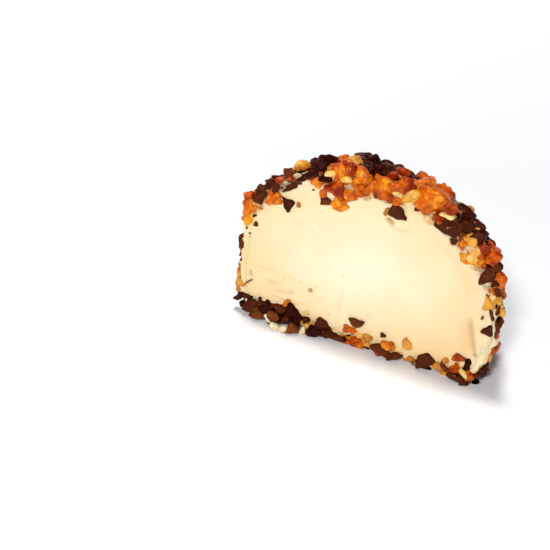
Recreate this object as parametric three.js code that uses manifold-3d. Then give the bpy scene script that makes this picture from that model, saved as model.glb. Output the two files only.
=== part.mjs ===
// One half of a round cream truffle, cut straight down through its middle and standing on its flat foot.
// Two pieces: the pale cream filling, whose cut face looks towards -Y, and the crunchy coat round it, a skin
// of softened cream set with chopped chocolate and caramelised nut. The coat is open at the cut.
//
// Millimetres, +Z up, +X to the right along the cut. The origin lies under the middle of the bounding box,
// on the plane that the foot stands on. Everything is first worked out about the axis of the whole truffle,
// with the knife's plane at y = 0 and the half that is kept at y > 0, and is moved as one at the end.
import * as THREE from "three";
import { mergeVertices } from "three/addons/utils/BufferGeometryUtils.js";
import Module from "manifold-3d";

const wasm = await Module();
wasm.setup();

// ---- Driving dimensions ----------------------------------------------------------------------------------
const RADIUS = 38; // widest radius over the coat
const HEIGHT = 51.7; // foot to top over the coat
const WAIST = 12; // height of the widest level
const FOOT = 34; // radius of the flat foot
const FULLNESS = 2.4; // power of the dome's superellipse: 2 is an ellipse, more is squarer
const SWELL = 0.012; // share by which the radius wanders round the truffle
const SHOULDER = 0.105; // share by which the left shoulder is fuller
const SHOULDER_HEIGHT = 39.5;
const SHOULDER_REACH = 10;
const LEAN = 3; // how far the top leans to the left

const SKIN_TOP = 1.3; // depth of the skin's outer side under the coat's mean surface
const SKIN = 1.5; // thickness of the skin that the pieces are set in
const GAP = 0.3; // clearance between the coat and the filling
const FOOT_RELIEF = 0.8; // how far the skin stays above the plane that the foot's pieces stand on

const PIECE_SPACING = 6.6; // mean distance between the coat's pieces
const PIECE_HALF = [2.1, 3.7]; // half length of a piece, least and most
const PIECE_RISE = [-0.8, 0.9]; // how far a piece's outer side stands out from the coat's mean surface
const PIECE_SUNK = 0.8; // share of a piece's half thickness that lies between its outer side and its middle
const FACE_LIP = 0.7; // how far the filling's rim stands out where the knife dragged it
const FACE_WAVE = 0.25; // height of the waves that the knife left
const GROWN = 1.1; // a socket in the filling is this much larger than its piece

// ---- Shape of the whole truffle --------------------------------------------------------------------------
const FOOT_STEPS = 4;
const DOME_STEPS = 10;
const ROUND_STEPS = 32;
const FINE_STEPS = 120;
const GOLDEN_ANGLE = Math.PI * (3 - Math.sqrt(5));

// A repeatable number from 0 to 1 for a piece and a channel.
function draw(index, channel) {
  const x = Math.sin(index * 12.9898 + channel * 78.233) * 43758.5453;
  return x - Math.floor(x);
}

function between(range, share) {
  return range[0] + (range[1] - range[0]) * share;
}

// Outline from the middle of the foot to the top, as [radius, height], at a depth under the coat's surface:
// the flat foot, a quarter ellipse out to the waist, and a superellipse over the dome.
function outline(depth, footSteps, domeSteps) {
  const radius = RADIUS - depth;
  const foot = FOOT - depth;
  const points = [[0, depth]];
  for (let i = 0; i <= footSteps; i++) {
    const a = ((i / footSteps) * Math.PI) / 2;
    points.push([foot + (radius - foot) * Math.sin(a), depth + (WAIST - depth) * (1 - Math.cos(a))]);
  }
  for (let i = 1; i <= domeSteps; i++) {
    const a = ((i / domeSteps) * Math.PI) / 2;
    const across = i === domeSteps ? 0 : radius * Math.cos(a) ** (2 / FULLNESS);
    points.push([across, WAIST + (HEIGHT - depth - WAIST) * Math.sin(a) ** (2 / FULLNESS)]);
  }
  return points;
}

// How far the truffle swells from round at an angle and a height.
function swell(angle, height) {
  const wander = Math.sin(2 * angle - 0.4) + 0.8 * Math.sin(3 * angle - height / 11);
  const above = (height - SHOULDER_HEIGHT) / SHOULDER_REACH;
  const shoulder = (0.5 - 0.5 * Math.cos(angle)) * Math.exp(-(above ** 2));
  return 1 + SWELL * wander + SHOULDER * shoulder;
}

// How far the truffle has leant to the left at a height.
function lean(height) {
  return LEAN * (height / HEIGHT) ** 3;
}

// A closed three.js geometry as a solid.
function solidOf(geometry) {
  const bare = new THREE.BufferGeometry();
  bare.setAttribute("position", geometry.toNonIndexed().getAttribute("position"));
  const merged = mergeVertices(bare, 1e-4);
  return new wasm.Manifold(
    new wasm.Mesh({
      numProp: 3,
      vertProperties: merged.attributes.position.array,
      triVerts: new Uint32Array(merged.index.array),
    }),
  );
}

// The whole truffle at a depth under the coat's surface: the outline turned round the axis, then swollen,
// and roughened where a height for its bumps is given.
function wholeTruffle(depth, bumps = 0) {
  const profile = outline(depth, FOOT_STEPS, DOME_STEPS).map(([r, z]) => new THREE.Vector2(r, z));
  const geometry = new THREE.LatheGeometry(profile, ROUND_STEPS).rotateX(Math.PI / 2);
  const position = geometry.attributes.position;
  for (let i = 0; i < position.count; i++) {
    const [x, y, z] = [position.getX(i), position.getY(i), position.getZ(i)];
    const angle = Math.atan2(y, x);
    const knot = Math.round(angle * 1e3) + Math.round(z * 1e2) * 7;
    const bump = 1 + (bumps * (draw(knot, 11) - 0.5)) / Math.hypot(x, y, 1);
    const scale = swell(angle, z) * (z > WAIST / 2 ? bump : 1);
    position.setXYZ(i, x * scale - lean(z), y * scale, z);
  }
  return solidOf(geometry);
}

// ---- Pieces of the coat ----------------------------------------------------------------------------------
// Each piece is a rough polyhedron: a block cut by planes whose normals are spread evenly over a sphere and
// then shaken. Few planes give a splinter of chocolate, more a rounded piece of nut.
const CHOCOLATE_PLANES = 7;
const NUT_PLANES = 9;
const CHOCOLATE_SHARE = 0.5;
const PLANE_SHAKE = 0.6; // how far a plane's normal is shaken
const PLANE_REACH = [0.68, 0.9]; // distance of a plane from the middle, in half sizes
const BLOCK = 2.4; // side of the block, in half sizes
const block = solidOf(new THREE.BoxGeometry(BLOCK, BLOCK, BLOCK));

function evenDirection(k, count) {
  const z = 1 - (2 * k + 1) / count;
  const r = Math.sqrt(1 - z * z);
  return new THREE.Vector3(r * Math.cos(k * GOLDEN_ANGLE), r * Math.sin(k * GOLDEN_ANGLE), z);
}

function roughPiece(index, planes) {
  let piece = block;
  for (let k = 0; k < planes; k++) {
    const shake = new THREE.Vector3(draw(index, 20 + k), draw(index, 40 + k), draw(index, 60 + k));
    const normal = evenDirection(k, planes).addScaledVector(shake.subScalar(0.5), PLANE_SHAKE).normalize();
    const reach = between(PLANE_REACH, draw(index, 80 + k));
    piece = piece.trimByPlane([-normal.x, -normal.y, -normal.z], -reach);
  }
  return piece;
}

// A piece in place: its half sizes lie along the side, the length and the normal of where it is set.
function setPiece(index, planes, centre, normal, half, spin, tilt, scale = 1) {
  const side = new THREE.Vector3(-normal.y, normal.x, 0);
  if (side.length() < 1e-6) side.set(1, 0, 0);
  side.normalize();
  const along = new THREE.Vector3().crossVectors(normal, side);
  const place = new THREE.Matrix4()
    .makeBasis(side, along, normal)
    .multiply(new THREE.Matrix4().makeRotationZ(spin))
    .multiply(new THREE.Matrix4().makeRotationX(tilt))
    .multiply(new THREE.Matrix4().makeScale(...half.map((h) => h * scale)))
    .setPosition(centre);
  return roughPiece(index, planes).transform(place.elements);
}

// The outline at the coat's surface, finely stepped, with the area turned by each stretch summed up.
const fine = outline(0, FINE_STEPS / 4, FINE_STEPS);
const areaUpTo = [0];
for (let i = 1; i < fine.length; i++) {
  const [[r0, z0], [r1, z1]] = [fine[i - 1], fine[i]];
  areaUpTo.push(areaUpTo[i - 1] + Math.PI * (r0 + r1) * Math.hypot(r1 - r0, z1 - z0));
}
const wholeArea = areaUpTo[areaUpTo.length - 1];

// Where a share of the area has been passed on the way from the foot to the top: the point and its normal.
function onSurface(share, angle) {
  const area = share * wholeArea;
  const i = Math.max(1, areaUpTo.findIndex((a) => a >= area));
  const t = (area - areaUpTo[i - 1]) / (areaUpTo[i] - areaUpTo[i - 1]);
  const [[r0, z0], [r1, z1]] = [fine[i - 1], fine[i]];
  const [r, z] = [r0 + (r1 - r0) * t, z0 + (z1 - z0) * t];
  const length = Math.hypot(r1 - r0, z1 - z0);
  const [outwards, upwards] = [(z1 - z0) / length, -(r1 - r0) / length];
  const scale = swell(angle, z);
  return {
    point: new THREE.Vector3(r * Math.cos(angle) * scale - lean(z), r * Math.sin(angle) * scale, z),
    normal: new THREE.Vector3(outwards * Math.cos(angle), outwards * Math.sin(angle), upwards),
  };
}

const LATTICE = Math.sqrt(3) / 2; // area of a piece's place, in squares of the mean distance
const ANGLE_SHAKE = 0.09;
const SHARE_SHAKE = 0.9;
const SLENDER = [0.7, 1]; // a piece's width over its length
const FLAT = [0.6, 0.85]; // its thickness over its length
const TILT_SHAKE = 0.7;
const KNIFE_CLEAR = 0.35; // a middle nearer to the knife than this share of the length leaves its piece out
const SLICED_SHARE = 0.5; // share of the pieces at the knife that are cut flat, the others stand out

// The pieces spread over the foot and the dome: one after another along a golden-angle spiral, so that each
// has the same area to itself, and a little shaken. Those on the half that is taken away are left out.
function spreadPieces() {
  const count = Math.round(wholeArea / (LATTICE * PIECE_SPACING ** 2));
  const pieces = [];
  for (let i = 0; i < count; i++) {
    const angle = i * GOLDEN_ANGLE + (draw(i, 1) - 0.5) * ANGLE_SHAKE;
    const share = (i + 0.5 + (draw(i, 2) - 0.5) * SHARE_SHAKE) / count;
    const { point, normal } = onSurface(share, angle);
    const long = between(PIECE_HALF, draw(i, 3) ** 1.4);
    const half = [long, long * between(SLENDER, draw(i, 4)), long * between(FLAT, draw(i, 5))];
    if (point.y < KNIFE_CLEAR * long) continue;
    const rise = between(PIECE_RISE, draw(i, 6)) - PIECE_SUNK * half[2];
    const centre = point.clone().addScaledVector(normal, rise);
    const planes = draw(i, 7) < CHOCOLATE_SHARE ? CHOCOLATE_PLANES : NUT_PLANES;
    const spin = 2 * Math.PI * draw(i, 8);
    const tilt = (draw(i, 9) - 0.5) * TILT_SHAKE;
    const solid = setPiece(i, planes, centre, normal, half, spin, tilt);
    const sliced = draw(i, 10) < SLICED_SHARE ? solid.trimByPlane([0, 1, 0], 0) : solid;
    pieces.push(sliced.trimByPlane([0, 0, 1], 0));
  }
  return pieces;
}

// The large pieces that the knife laid bare: how far along the cut from the axis, the height, how far the
// front stands proud of the knife's plane, the half width, the half height, the spin in degrees, and the
// kind, C for chocolate and N for nut.
const BARED = [
  [-34.6, 34.8, 0.5, 2.4, 3.2, 10, "N"],
  [-31.6, 39.0, 0.3, 2.8, 2.3, 40, "C"],
  [-26.5, 41.8, 0.6, 2.5, 2.3, 0, "N"],
  [-23.6, 38.4, 0.1, 1.9, 2.4, 12, "C"],
  [-10.8, 46.6, 0.9, 4.2, 3.3, -25, "N"],
  [-13.4, 42.6, 0.1, 1.5, 1.6, 15, "C"],
  [-9.4, 42.2, 0.4, 2.6, 1.9, 10, "N"],
  [-3.2, 48.6, 0.4, 2.2, 1.5, 5, "N"],
  [0.6, 48.2, 0.1, 1.5, 1.7, 30, "C"],
  [6.2, 44.6, 0.2, 2.9, 2.8, 0, "C"],
  [13.6, 48.2, 1.2, 4.3, 3.7, 20, "N"],
  [20.4, 44.2, 0.3, 3.6, 2.8, -25, "C"],
  [25.6, 41.0, 0.4, 2.2, 1.6, -30, "N"],
  [27.6, 37.6, 0.8, 2.9, 2.2, -35, "N"],
  [31.0, 38.4, 0.5, 2.0, 2.2, 0, "N"],
  [31.2, 33.2, 0.2, 2.0, 2.2, 10, "C"],
  [34.6, 33.2, 0.3, 1.8, 2.0, 0, "N"],
  [33.9, 26.2, 0.5, 1.9, 2.6, 5, "N"],
  [34.9, 18.0, 0.1, 1.6, 2.2, 25, "C"],
  [36.4, 5.6, 0.2, 1.5, 2.4, -15, "C"],
  [29.8, 4.4, 0.8, 2.7, 2.8, 20, "N"],
  [21.0, 2.8, 0.9, 2.6, 2.6, 25, "C"],
  [14.5, 5.8, 0.1, 1.7, 1.8, 0, "N"],
  [8.6, 2.0, 1.4, 3.4, 1.8, -15, "N"],
  [-0.4, 6.8, 0.6, 2.4, 1.4, -10, "C"],
  [-1.4, 4.4, 0.7, 2.6, 1.4, 5, "N"],
  [-7.6, 1.6, 1.0, 1.9, 1.1, 15, "C"],
  [-10.2, 4.1, 0.9, 2.0, 1.9, 0, "C"],
  [-12.8, 1.9, 2.2, 2.3, 2.0, 15, "C"],
  [-19.4, 4.2, 1.9, 2.4, 2.4, -20, "C"],
  [-19.8, 1.5, 4.2, 1.9, 1.6, 10, "C"],
  [-21.2, 6.9, 0.4, 1.9, 1.7, 20, "N"],
  [-24.8, 2.0, 3.2, 2.2, 2.0, 30, "C"],
  [-27.4, 3.6, 1.6, 2.1, 2.1, -15, "C"],
  [-32.6, 2.8, 1.6, 2.4, 2.3, -20, "C"],
];
const SLICED_UNDER = 0.35; // a piece that stands out less than this was cut through and is flat in front
const BARED_DEEP = 0.42; // half depth of a bared piece over the sum of its half width and half height
const SLICED_BACK = 0.3; // share of its half depth by which a cut piece's middle lies behind the knife
const FIRST_BARED = 1000; // the bared pieces' draws start at this index

function baredPieces(scale) {
  const towardsKnife = new THREE.Vector3(0, -1, 0);
  return BARED.map(([x, z, proud, wide, high, degrees, kind], i) => {
    const planes = kind === "C" ? CHOCOLATE_PLANES : NUT_PLANES;
    const half = [wide, high, BARED_DEEP * (wide + high)];
    const sliced = proud < SLICED_UNDER;
    const back = sliced ? SLICED_BACK * half[2] : PIECE_SUNK * half[2] - proud;
    const centre = new THREE.Vector3(x, back, z);
    const spin = THREE.MathUtils.degToRad(degrees);
    const solid = setPiece(FIRST_BARED + i, planes, centre, towardsKnife, half, spin, 0, scale);
    const fronted = sliced ? solid.trimByPlane([0, 1, 0], -proud * scale) : solid;
    return fronted.trimByPlane([0, 0, 1], 0);
  });
}

// ---- The coat --------------------------------------------------------------------------------------------
const SKIN_BUMPS = 1.8; // height of the bumps on the skin

function largestBody(solid) {
  return solid.decompose().reduce((a, b) => (a.volume() > b.volume() ? a : b));
}

// The skin with the spread pieces, hollowed for the filling, and the bared pieces that reach it.
function crunchCoat(bared) {
  const whole = wholeTruffle(SKIN_TOP, SKIN_BUMPS).trimByPlane([0, 1, 0], 0);
  const skin = whole.trimByPlane([0, 0, 1], FOOT_RELIEF);
  const set = wasm.Manifold.union([skin, ...spreadPieces()]).subtract(wholeTruffle(SKIN_TOP + SKIN));
  return largestBody(wasm.Manifold.union([set, ...bared]));
}

// ---- The filling -----------------------------------------------------------------------------------------
const FACE_CELLS = [26, 16];
const KNIFE_THICKNESS = 6;
const LIP_DEPTH = 7; // how far inside the coat's outer edge the lip runs
const LIP_WIDTH = 2.6;

// Roughly how far a point of the cut face lies inside the coat's outer edge.
function rimDepth(x, z) {
  const across = (Math.abs(x + lean(z)) / RADIUS) ** FULLNESS;
  const up = (Math.max(0, z - WAIST) / (HEIGHT - WAIST)) ** FULLNESS;
  return Math.min(RADIUS * (1 - (across + up) ** (1 / FULLNESS)), z);
}

// How deep the cut face lies behind the knife's plane: soft waves, and a dragged lip along the right rim.
function faceRelief(x, z) {
  const depth = rimDepth(x, z);
  const inner = THREE.MathUtils.smoothstep(depth, 4, 9);
  const waves = Math.sin(x / 9 + z / 13) + 0.6 * Math.sin(x / 17 - z / 7 + 1);
  const lip = Math.exp(-(((depth - LIP_DEPTH) / LIP_WIDTH) ** 2)) * THREE.MathUtils.smoothstep(x, 2, 16);
  return FACE_WAVE * (1 + waves) * inner - FACE_LIP * lip;
}

// The knife: a slab in front of the truffle whose back has the cut face's relief.
function knife() {
  const [wide, high] = [2.2 * RADIUS, 1.1 * HEIGHT];
  const geometry = new THREE.BoxGeometry(wide, KNIFE_THICKNESS, high, FACE_CELLS[0], 1, FACE_CELLS[1]);
  geometry.translate(0, -KNIFE_THICKNESS / 2, high / 2 - 1);
  const position = geometry.attributes.position;
  for (let i = 0; i < position.count; i++) {
    if (Math.abs(position.getY(i)) > 1e-6) continue;
    position.setY(i, faceRelief(position.getX(i), position.getZ(i)));
  }
  return solidOf(geometry);
}

// The filling has a socket for each bared piece of the coat, and holds those that the coat doesn't reach.
function creamFilling(coat) {
  const bared = baredPieces(1);
  const inCoat = bared.map((piece) => piece.intersect(coat).volume() > 0.5 * piece.volume());
  const sockets = baredPieces(GROWN).filter((_, i) => inCoat[i]);
  const held = bared.filter((_, i) => !inCoat[i]);
  const body = wholeTruffle(SKIN_TOP + SKIN + GAP).trimByPlane([0, 1, 0], -2 * FACE_LIP);
  const cut = body.subtract(knife()).subtract(wasm.Manifold.union(sockets));
  return largestBody(wasm.Manifold.union([cut, ...held]));
}

// ---- Assembly --------------------------------------------------------------------------------------------
function meshOf(name, solid, material) {
  const { vertProperties, triVerts } = solid.getMesh();
  const geometry = new THREE.BufferGeometry();
  geometry.setAttribute("position", new THREE.BufferAttribute(vertProperties, 3));
  geometry.setIndex(new THREE.BufferAttribute(triVerts, 1));
  const flat = geometry.toNonIndexed();
  flat.computeVertexNormals();
  const mesh = new THREE.Mesh(flat, material);
  mesh.name = name;
  return mesh;
}

const cream = new THREE.MeshStandardMaterial({ color: 0xf8e6c0, roughness: 0.5, metalness: 0 });
const crunch = new THREE.MeshStandardMaterial({ color: 0x5a2a12, roughness: 0.4, metalness: 0 });

const truffle = new THREE.Group();
const coat = crunchCoat(baredPieces(1));
truffle.add(meshOf("crunch_coat", coat, crunch));
truffle.add(meshOf("cream_filling", creamFilling(coat), cream));

const box = new THREE.Box3().setFromObject(truffle, true);
truffle.position.set(-(box.min.x + box.max.x) / 2, -(box.min.y + box.max.y) / 2, -box.min.z);

export default truffle;
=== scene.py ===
"""Half of a round cream truffle, dressed round its fixed frame.

The frame gives two solids, the cream filling and the crunchy coat. This script makes the cut cream, the skin
of softened cream that holds the coat, the chopped chocolate and the caramelised nut, each as its own mesh.
Shapes are worked out in millimetres about the axis of the whole truffle, with the knife's plane at y = 0 and
the half that is kept at y > 0, and are then moved into the frame in metres.
"""

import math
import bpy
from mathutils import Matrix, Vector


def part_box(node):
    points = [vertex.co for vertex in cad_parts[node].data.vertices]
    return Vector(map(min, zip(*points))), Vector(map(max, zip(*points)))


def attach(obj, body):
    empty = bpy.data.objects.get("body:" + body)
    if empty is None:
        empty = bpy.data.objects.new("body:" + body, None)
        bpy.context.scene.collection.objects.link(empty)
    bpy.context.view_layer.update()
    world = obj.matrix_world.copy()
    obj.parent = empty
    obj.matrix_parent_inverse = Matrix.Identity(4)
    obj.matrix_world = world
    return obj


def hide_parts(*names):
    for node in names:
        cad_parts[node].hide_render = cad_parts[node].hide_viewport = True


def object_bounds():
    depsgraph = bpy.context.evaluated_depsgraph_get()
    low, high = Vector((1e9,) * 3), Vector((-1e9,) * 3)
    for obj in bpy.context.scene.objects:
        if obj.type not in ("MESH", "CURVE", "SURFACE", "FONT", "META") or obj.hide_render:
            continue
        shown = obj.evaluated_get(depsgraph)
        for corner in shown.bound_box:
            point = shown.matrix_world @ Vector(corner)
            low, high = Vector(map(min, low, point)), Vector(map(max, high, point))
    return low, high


bl_info = {
    "name": "Halved Cream Truffle",
    "version": (1, 0, 0),
    "blender": (4, 5, 0),
    "location": "3D View > Sidebar > Truffle",
    "description": "Makes the cream, the crunchy coat and the stage of a halved truffle",
    "category": "Object",
}

import bpy
import numpy as np
from bpy.props import FloatProperty, FloatVectorProperty, PointerProperty
from bpy.types import NodeSocket, Operator, Panel, PropertyGroup
from mathutils import Matrix, Vector

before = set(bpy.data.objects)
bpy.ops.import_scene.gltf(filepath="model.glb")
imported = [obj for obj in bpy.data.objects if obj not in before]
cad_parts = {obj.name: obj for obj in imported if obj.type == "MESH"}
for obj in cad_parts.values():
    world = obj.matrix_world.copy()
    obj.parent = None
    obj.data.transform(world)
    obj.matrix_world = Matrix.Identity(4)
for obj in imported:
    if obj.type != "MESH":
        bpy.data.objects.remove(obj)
CAD_LOW, CAD_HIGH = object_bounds()
CREAM_LOW, CREAM_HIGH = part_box("cream_filling")

# ---- Sizes of the whole truffle, in millimetres, shared with the frame -------------------------------------
MM = 0.001
RADIUS = 38.0  # widest radius over the coat
WAIST = 12.0  # height of the widest level
FOOT = 34.0  # radius of the flat foot
FULLNESS = 2.4  # power of the dome's superellipse
SWELL = 0.012  # share by which the radius wanders round the truffle
SWELL_START = 0.4  # angle at which the two-lobed wander starts
SWELL_THREE = 0.8  # height of the three-lobed wander over the two-lobed one
SWELL_TWIST = 11.0  # height over which the three-lobed wander turns by one radian
SHOULDER = 0.105  # share by which the left shoulder is fuller
SHOULDER_HEIGHT = 39.5
SHOULDER_REACH = 10.0
LEAN = 3.0  # how far the top leans to the left
CREAM_DEPTH = CREAM_LOW.z / MM  # the cream lies this deep under the coat's mean surface
HEIGHT = (CREAM_HIGH.z + CREAM_LOW.z) / MM  # foot to top over the coat
SKIN_TOP = 1.3  # depth of the skin's outer side
SKIN = 1.5  # thickness of the skin
FRAME_STEPS = (4, 10)  # steps along the foot and the dome of the frame's own outline
FRAME_SIDES = 16  # and round its half
SURFACE_STEPS = (30, 120)  # steps along the coat's mean surface
FINE_STEPS = (60, 400)  # steps from which an even outline is taken
# Where the coat stands out from its mean surface: a place across and up, how far around it, and how far out.
BULGES = [(-16.0, 46.0, 12.0, 1.6), (38.0, 22.0, 16.0, 0.7)]

# ---- Sizes of the chopped pieces ---------------------------------------------------------------------------
PIECE_HALF = (2.1, 3.7)  # half length of a large piece, least and most
PIECE_RISE = (-0.5, 1.3)  # how far its outer side stands out from the coat's mean surface
PIECE_SUNK = 0.8  # share of its half thickness between its outer side and its middle
SMALL_MANY = 1.4  # power of the draw of a half length: above 1, more of the pieces are small
MEDIUM_HALF = (1.0, 1.9)
MEDIUM_RISE = (-1.2, 0.2)
CRUMB_HALF = (0.4, 0.85)
CRUMB_RISE = (-1.5, -0.5)
SLENDER = (0.7, 1.0)  # a piece's width over its length
FLAT = (0.6, 0.85)  # its thickness over its length
CHOCOLATE_PLANES = 7  # facets of a piece, apart from its block's sides
NUT_PLANES = 9
CRUMB_PLANES = 4
PLANE_SHAKE = 0.6  # how far a facet's normal is shaken
PLANE_REACH = (0.68, 0.9)  # distance of a facet from the middle, in half sizes
BLOCK = 2.4  # side of the block that a piece is cut from, in half sizes
# A wedge's facets: two steep sides that meet in a tip, the base, the tip's blunt end, two slanting faces in
# front and one behind, and how far each lies from the middle in half sizes.
WEDGE_SIDES = [[2, 1, 0], [-2, 1, 0], [0, -1, 0], [0, 1, 0], [0.5, 0.6, 2], [-0.6, -0.4, 2], [0, 0, -1]]
WEDGE_REACH = [0.5, 0.5, 1, 0.8, 0.95, 1, 1]
WEDGE_SHAKE = 0.25
SIDE_PAINTED_SHADE = 0.55  # painted shade: how much lower in tone, and so darker, a rounded piece is at its sides
SIDE_SHADE_FALL = (-0.6, 0.15)  # how far behind its middle, in half thicknesses, that painted shade falls in
LUMP_MOST = 0.14  # height of the lumps over a piece's mean half size, at most
BILLOW_SUNK = 0.9  # how far billows are lowered, so that they swell and crease about the same surface
ANGLE_SHAKE = 0.09  # how far the pieces are shaken along the spiral, in radians
SHARE_SHAKE = 0.9  # and across it, in steps
TILT_SHAKE = 0.7
KNIFE_CLEAR = 0.35  # a place nearer to the knife than this share of the half length leaves its piece out
SLICED_SHARE = 0.5  # share of the pieces at the knife that are cut flat
SLICED_UNDER = 0.35  # a bared piece that stands out less than this was cut through and is flat in front
SLICED_BACK = 0.3  # share of its half depth by which a cut piece's middle lies behind the knife
NEVER_CUT = -1e3  # the knife's level for a piece that it missed
BARED_DEEP = 0.42  # half depth of a bared piece over the sum of its half width and half height
SMEAR_DEEP = 1.3  # half depth of a smear over its least half width
LARGE_HALF = 2.0  # a piece with a longer half than this is large
FINE_GRID = (40, 26)  # steps round and down a large piece at the cut
MIDDLE_GRID = (20, 13)
COARSE_GRID = (9, 6)
GOLDEN_ANGLE = math.pi * (3 - math.sqrt(5))
LATTICE = math.sqrt(3) / 2  # area of a piece's place, in squares of the mean distance
OUTWARDS = (0.0, -1.0, 0.0)  # from the cut towards the one who faces it
DOWN = (0.0, 0.0, -1.0)
# How the rounded pieces of each kind are shaped: facets, or none for a wedge's own, how crisp the edges
# between them are, size and height of the lumps, and whether the lumps are billows.
FORMS = {
    "C": (CHOCOLATE_PLANES, 9, (2.8, 0.22), False),
    "T": (None, 9, (2.8, 0.22), False),
    "N": (NUT_PLANES, 7, (3.4, 0.38), True),
    "P": (NUT_PLANES, 9, (4.4, 0.22), False),
    "W": (NUT_PLANES, 4, (1.8, 0.3), False),
}

# ---- Repeatable draws and soft noise -----------------------------------------------------------------------
DRAW_STEPS = (12.9898, 78.233)  # how far the draw's angle moves from one index, and one channel, to the next
DRAW_SCALE = 43758.5453
# Index of the first draw of each group of pieces.
FIRST_BARED = 1000
FIRST_CHIP = 1200
FIRST_MEDIUM = 2000
FIRST_CRUST = 3000
FIRST_CRUMB = 6000
# Channels of the pieces' shapes; those up to 16 are for their places, sizes, turns and tones.
FACET_CHANNELS = (20, 40, 60)
REACH_CHANNEL = 80
WEDGE_CHANNEL = 220
LUMP_CHANNEL = 300
WAVES = 9  # plane waves in a ripple
WAVE_SHAKE = 0.8  # how far their directions are shaken
WAVE_LENGTH = (0.75, 1.35)  # their length over the ripple's size, least and most
WAVE_POWER = 1.2  # a ripple is divided by the root of this times the number of its waves
LUMPS_APART = 7.3  # how far apart in the noise one piece lies from the next


def draw(index, channel):
    """A repeatable number from 0 to 1 for each piece and channel: the fraction of a large multiple of a sine.
    Each choice has a channel of its own."""
    x = np.sin(np.asarray(index) * DRAW_STEPS[0] + np.asarray(channel) * DRAW_STEPS[1]) * DRAW_SCALE
    return x - np.floor(x)


def between(limits, share):
    """The value that lies a share of the way from the first limit to the second."""
    return limits[0] + (limits[1] - limits[0]) * share


def smooth(x, low, high):
    """0 below low, 1 above high, and a smooth cubic between them."""
    t = np.clip((x - low) / (high - low), 0, 1)
    return t * t * (3 - 2 * t)


def even_directions(count):
    """Directions spread evenly over a sphere: equal steps in height, a golden angle apart."""
    k = np.arange(count)
    z = 1 - (2 * k + 1) / count
    r = np.sqrt(1 - z * z)
    return np.stack([r * np.cos(k * GOLDEN_ANGLE), r * np.sin(k * GOLDEN_ANGLE), z], -1)


def ripple(points, size, channel):
    """Soft noise from about -1 to 1: the sum of plane waves of about one length in directions spread over a
    sphere, each with its own phase."""
    k = np.arange(WAVES)
    shake = np.stack([draw(k, channel + c) for c in range(3)], -1) - 0.5
    way = even_directions(WAVES) + WAVE_SHAKE * shake
    way /= np.linalg.norm(way, axis=-1, keepdims=True)
    length = size * between(WAVE_LENGTH, draw(k, channel + 3))
    phase = 2 * np.pi * draw(k, channel + 4)
    return np.sin(2 * np.pi * (points @ way.T) / length + phase).sum(-1) / math.sqrt(WAVES * WAVE_POWER)


def ripples(points, rows):
    """Ripples on each other, from rows of height, size and the first channel of their draws."""
    return sum(height * ripple(points, size, channel) for height, size, channel in rows)


# ---- Shape of the whole truffle ----------------------------------------------------------------------------
def outline(depth, foot_steps, dome_steps):
    """Outline from the middle of the foot to the top at a depth under the coat's surface, as rows of radius
    and height: the flat foot, a quarter ellipse out to the waist, and a superellipse over the dome."""
    radius, foot = RADIUS - depth, FOOT - depth
    a = np.linspace(0, np.pi / 2, foot_steps + 1)
    low = np.stack([foot + (radius - foot) * np.sin(a), depth + (WAIST - depth) * (1 - np.cos(a))], 1)
    b = np.linspace(0, np.pi / 2, dome_steps + 1)[1:]
    across = radius * np.clip(np.cos(b), 0, 1) ** (2 / FULLNESS)
    across[-1] = 0
    high = np.stack([across, WAIST + (HEIGHT - depth - WAIST) * np.sin(b) ** (2 / FULLNESS)], 1)
    return np.concatenate([[[0, depth]], low, high])


def passed(points):
    """The way along a row of points up to each of them."""
    return np.concatenate([[0], np.cumsum(np.linalg.norm(np.diff(points, axis=0), axis=1))])


def even_outline(depth, steps):
    """The same outline at equal distances along its length."""
    points = outline(depth, *FINE_STEPS)
    gone = passed(points)
    at = np.linspace(0, gone[-1], steps + 1)
    return np.stack([np.interp(at, gone, points[:, c]) for c in range(2)], 1)


def swell(angle, height):
    """How far the truffle swells from round: two slow waves round it, and a fuller left shoulder."""
    wander = np.sin(2 * angle - SWELL_START) + SWELL_THREE * np.sin(3 * angle - height / SWELL_TWIST)
    level = np.exp(-(((height - SHOULDER_HEIGHT) / SHOULDER_REACH) ** 2))
    shoulder = (0.5 - 0.5 * np.cos(angle)) * level
    return 1 + SWELL * wander + SHOULDER * shoulder


def lean(height):
    """How far the truffle has leant to the left at a height: more and more towards the top."""
    return LEAN * (height / HEIGHT) ** 3


def placed(radius, height, angle):
    """Points at a radius and a height of the outline and an angle round the axis, swollen and leant."""
    wide = swell(angle, height)
    x, y = radius * np.cos(angle) * wide - lean(height), radius * np.sin(angle) * wide
    return np.stack([x, y, height + 0 * wide], -1)


def outward(out, up, angle):
    """Normals of the turned outline, from how far they lean out and up, at an angle round the axis."""
    return np.stack([out * np.cos(angle), out * np.sin(angle), up + 0 * angle], -1)


def turned(profile, angles):
    """The outline turned round the axis and swollen: rows follow the outline and columns the angle."""
    return placed(profile[:, :1], profile[:, 1:], angles)


def frame_shift():
    """Where the truffle's axis and the knife's plane lie in the frame, in millimetres: the cream's box in the
    frame less the same box about the axis."""
    body = turned(outline(CREAM_DEPTH, *FRAME_STEPS), np.linspace(0, np.pi, FRAME_SIDES + 1))
    middle = (CREAM_LOW.x + CREAM_HIGH.x) / 2 / MM - (body[..., 0].min() + body[..., 0].max()) / 2
    return np.array([middle, CREAM_HIGH.y / MM - body[..., 1].max(), 0.0])


SHIFT = frame_shift()


def mean_surface():
    """The coat's mean surface: its outline, the steps along it, their lengths, and the area passed up to each
    point, as a sum of cones."""
    fine = outline(0, *SURFACE_STEPS)
    steps = np.diff(fine, axis=0)
    length = np.linalg.norm(steps, axis=1)
    area = np.concatenate([[0], np.cumsum(np.pi * (fine[1:, 0] + fine[:-1, 0]) * length)])
    return fine, steps, length, area


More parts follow.
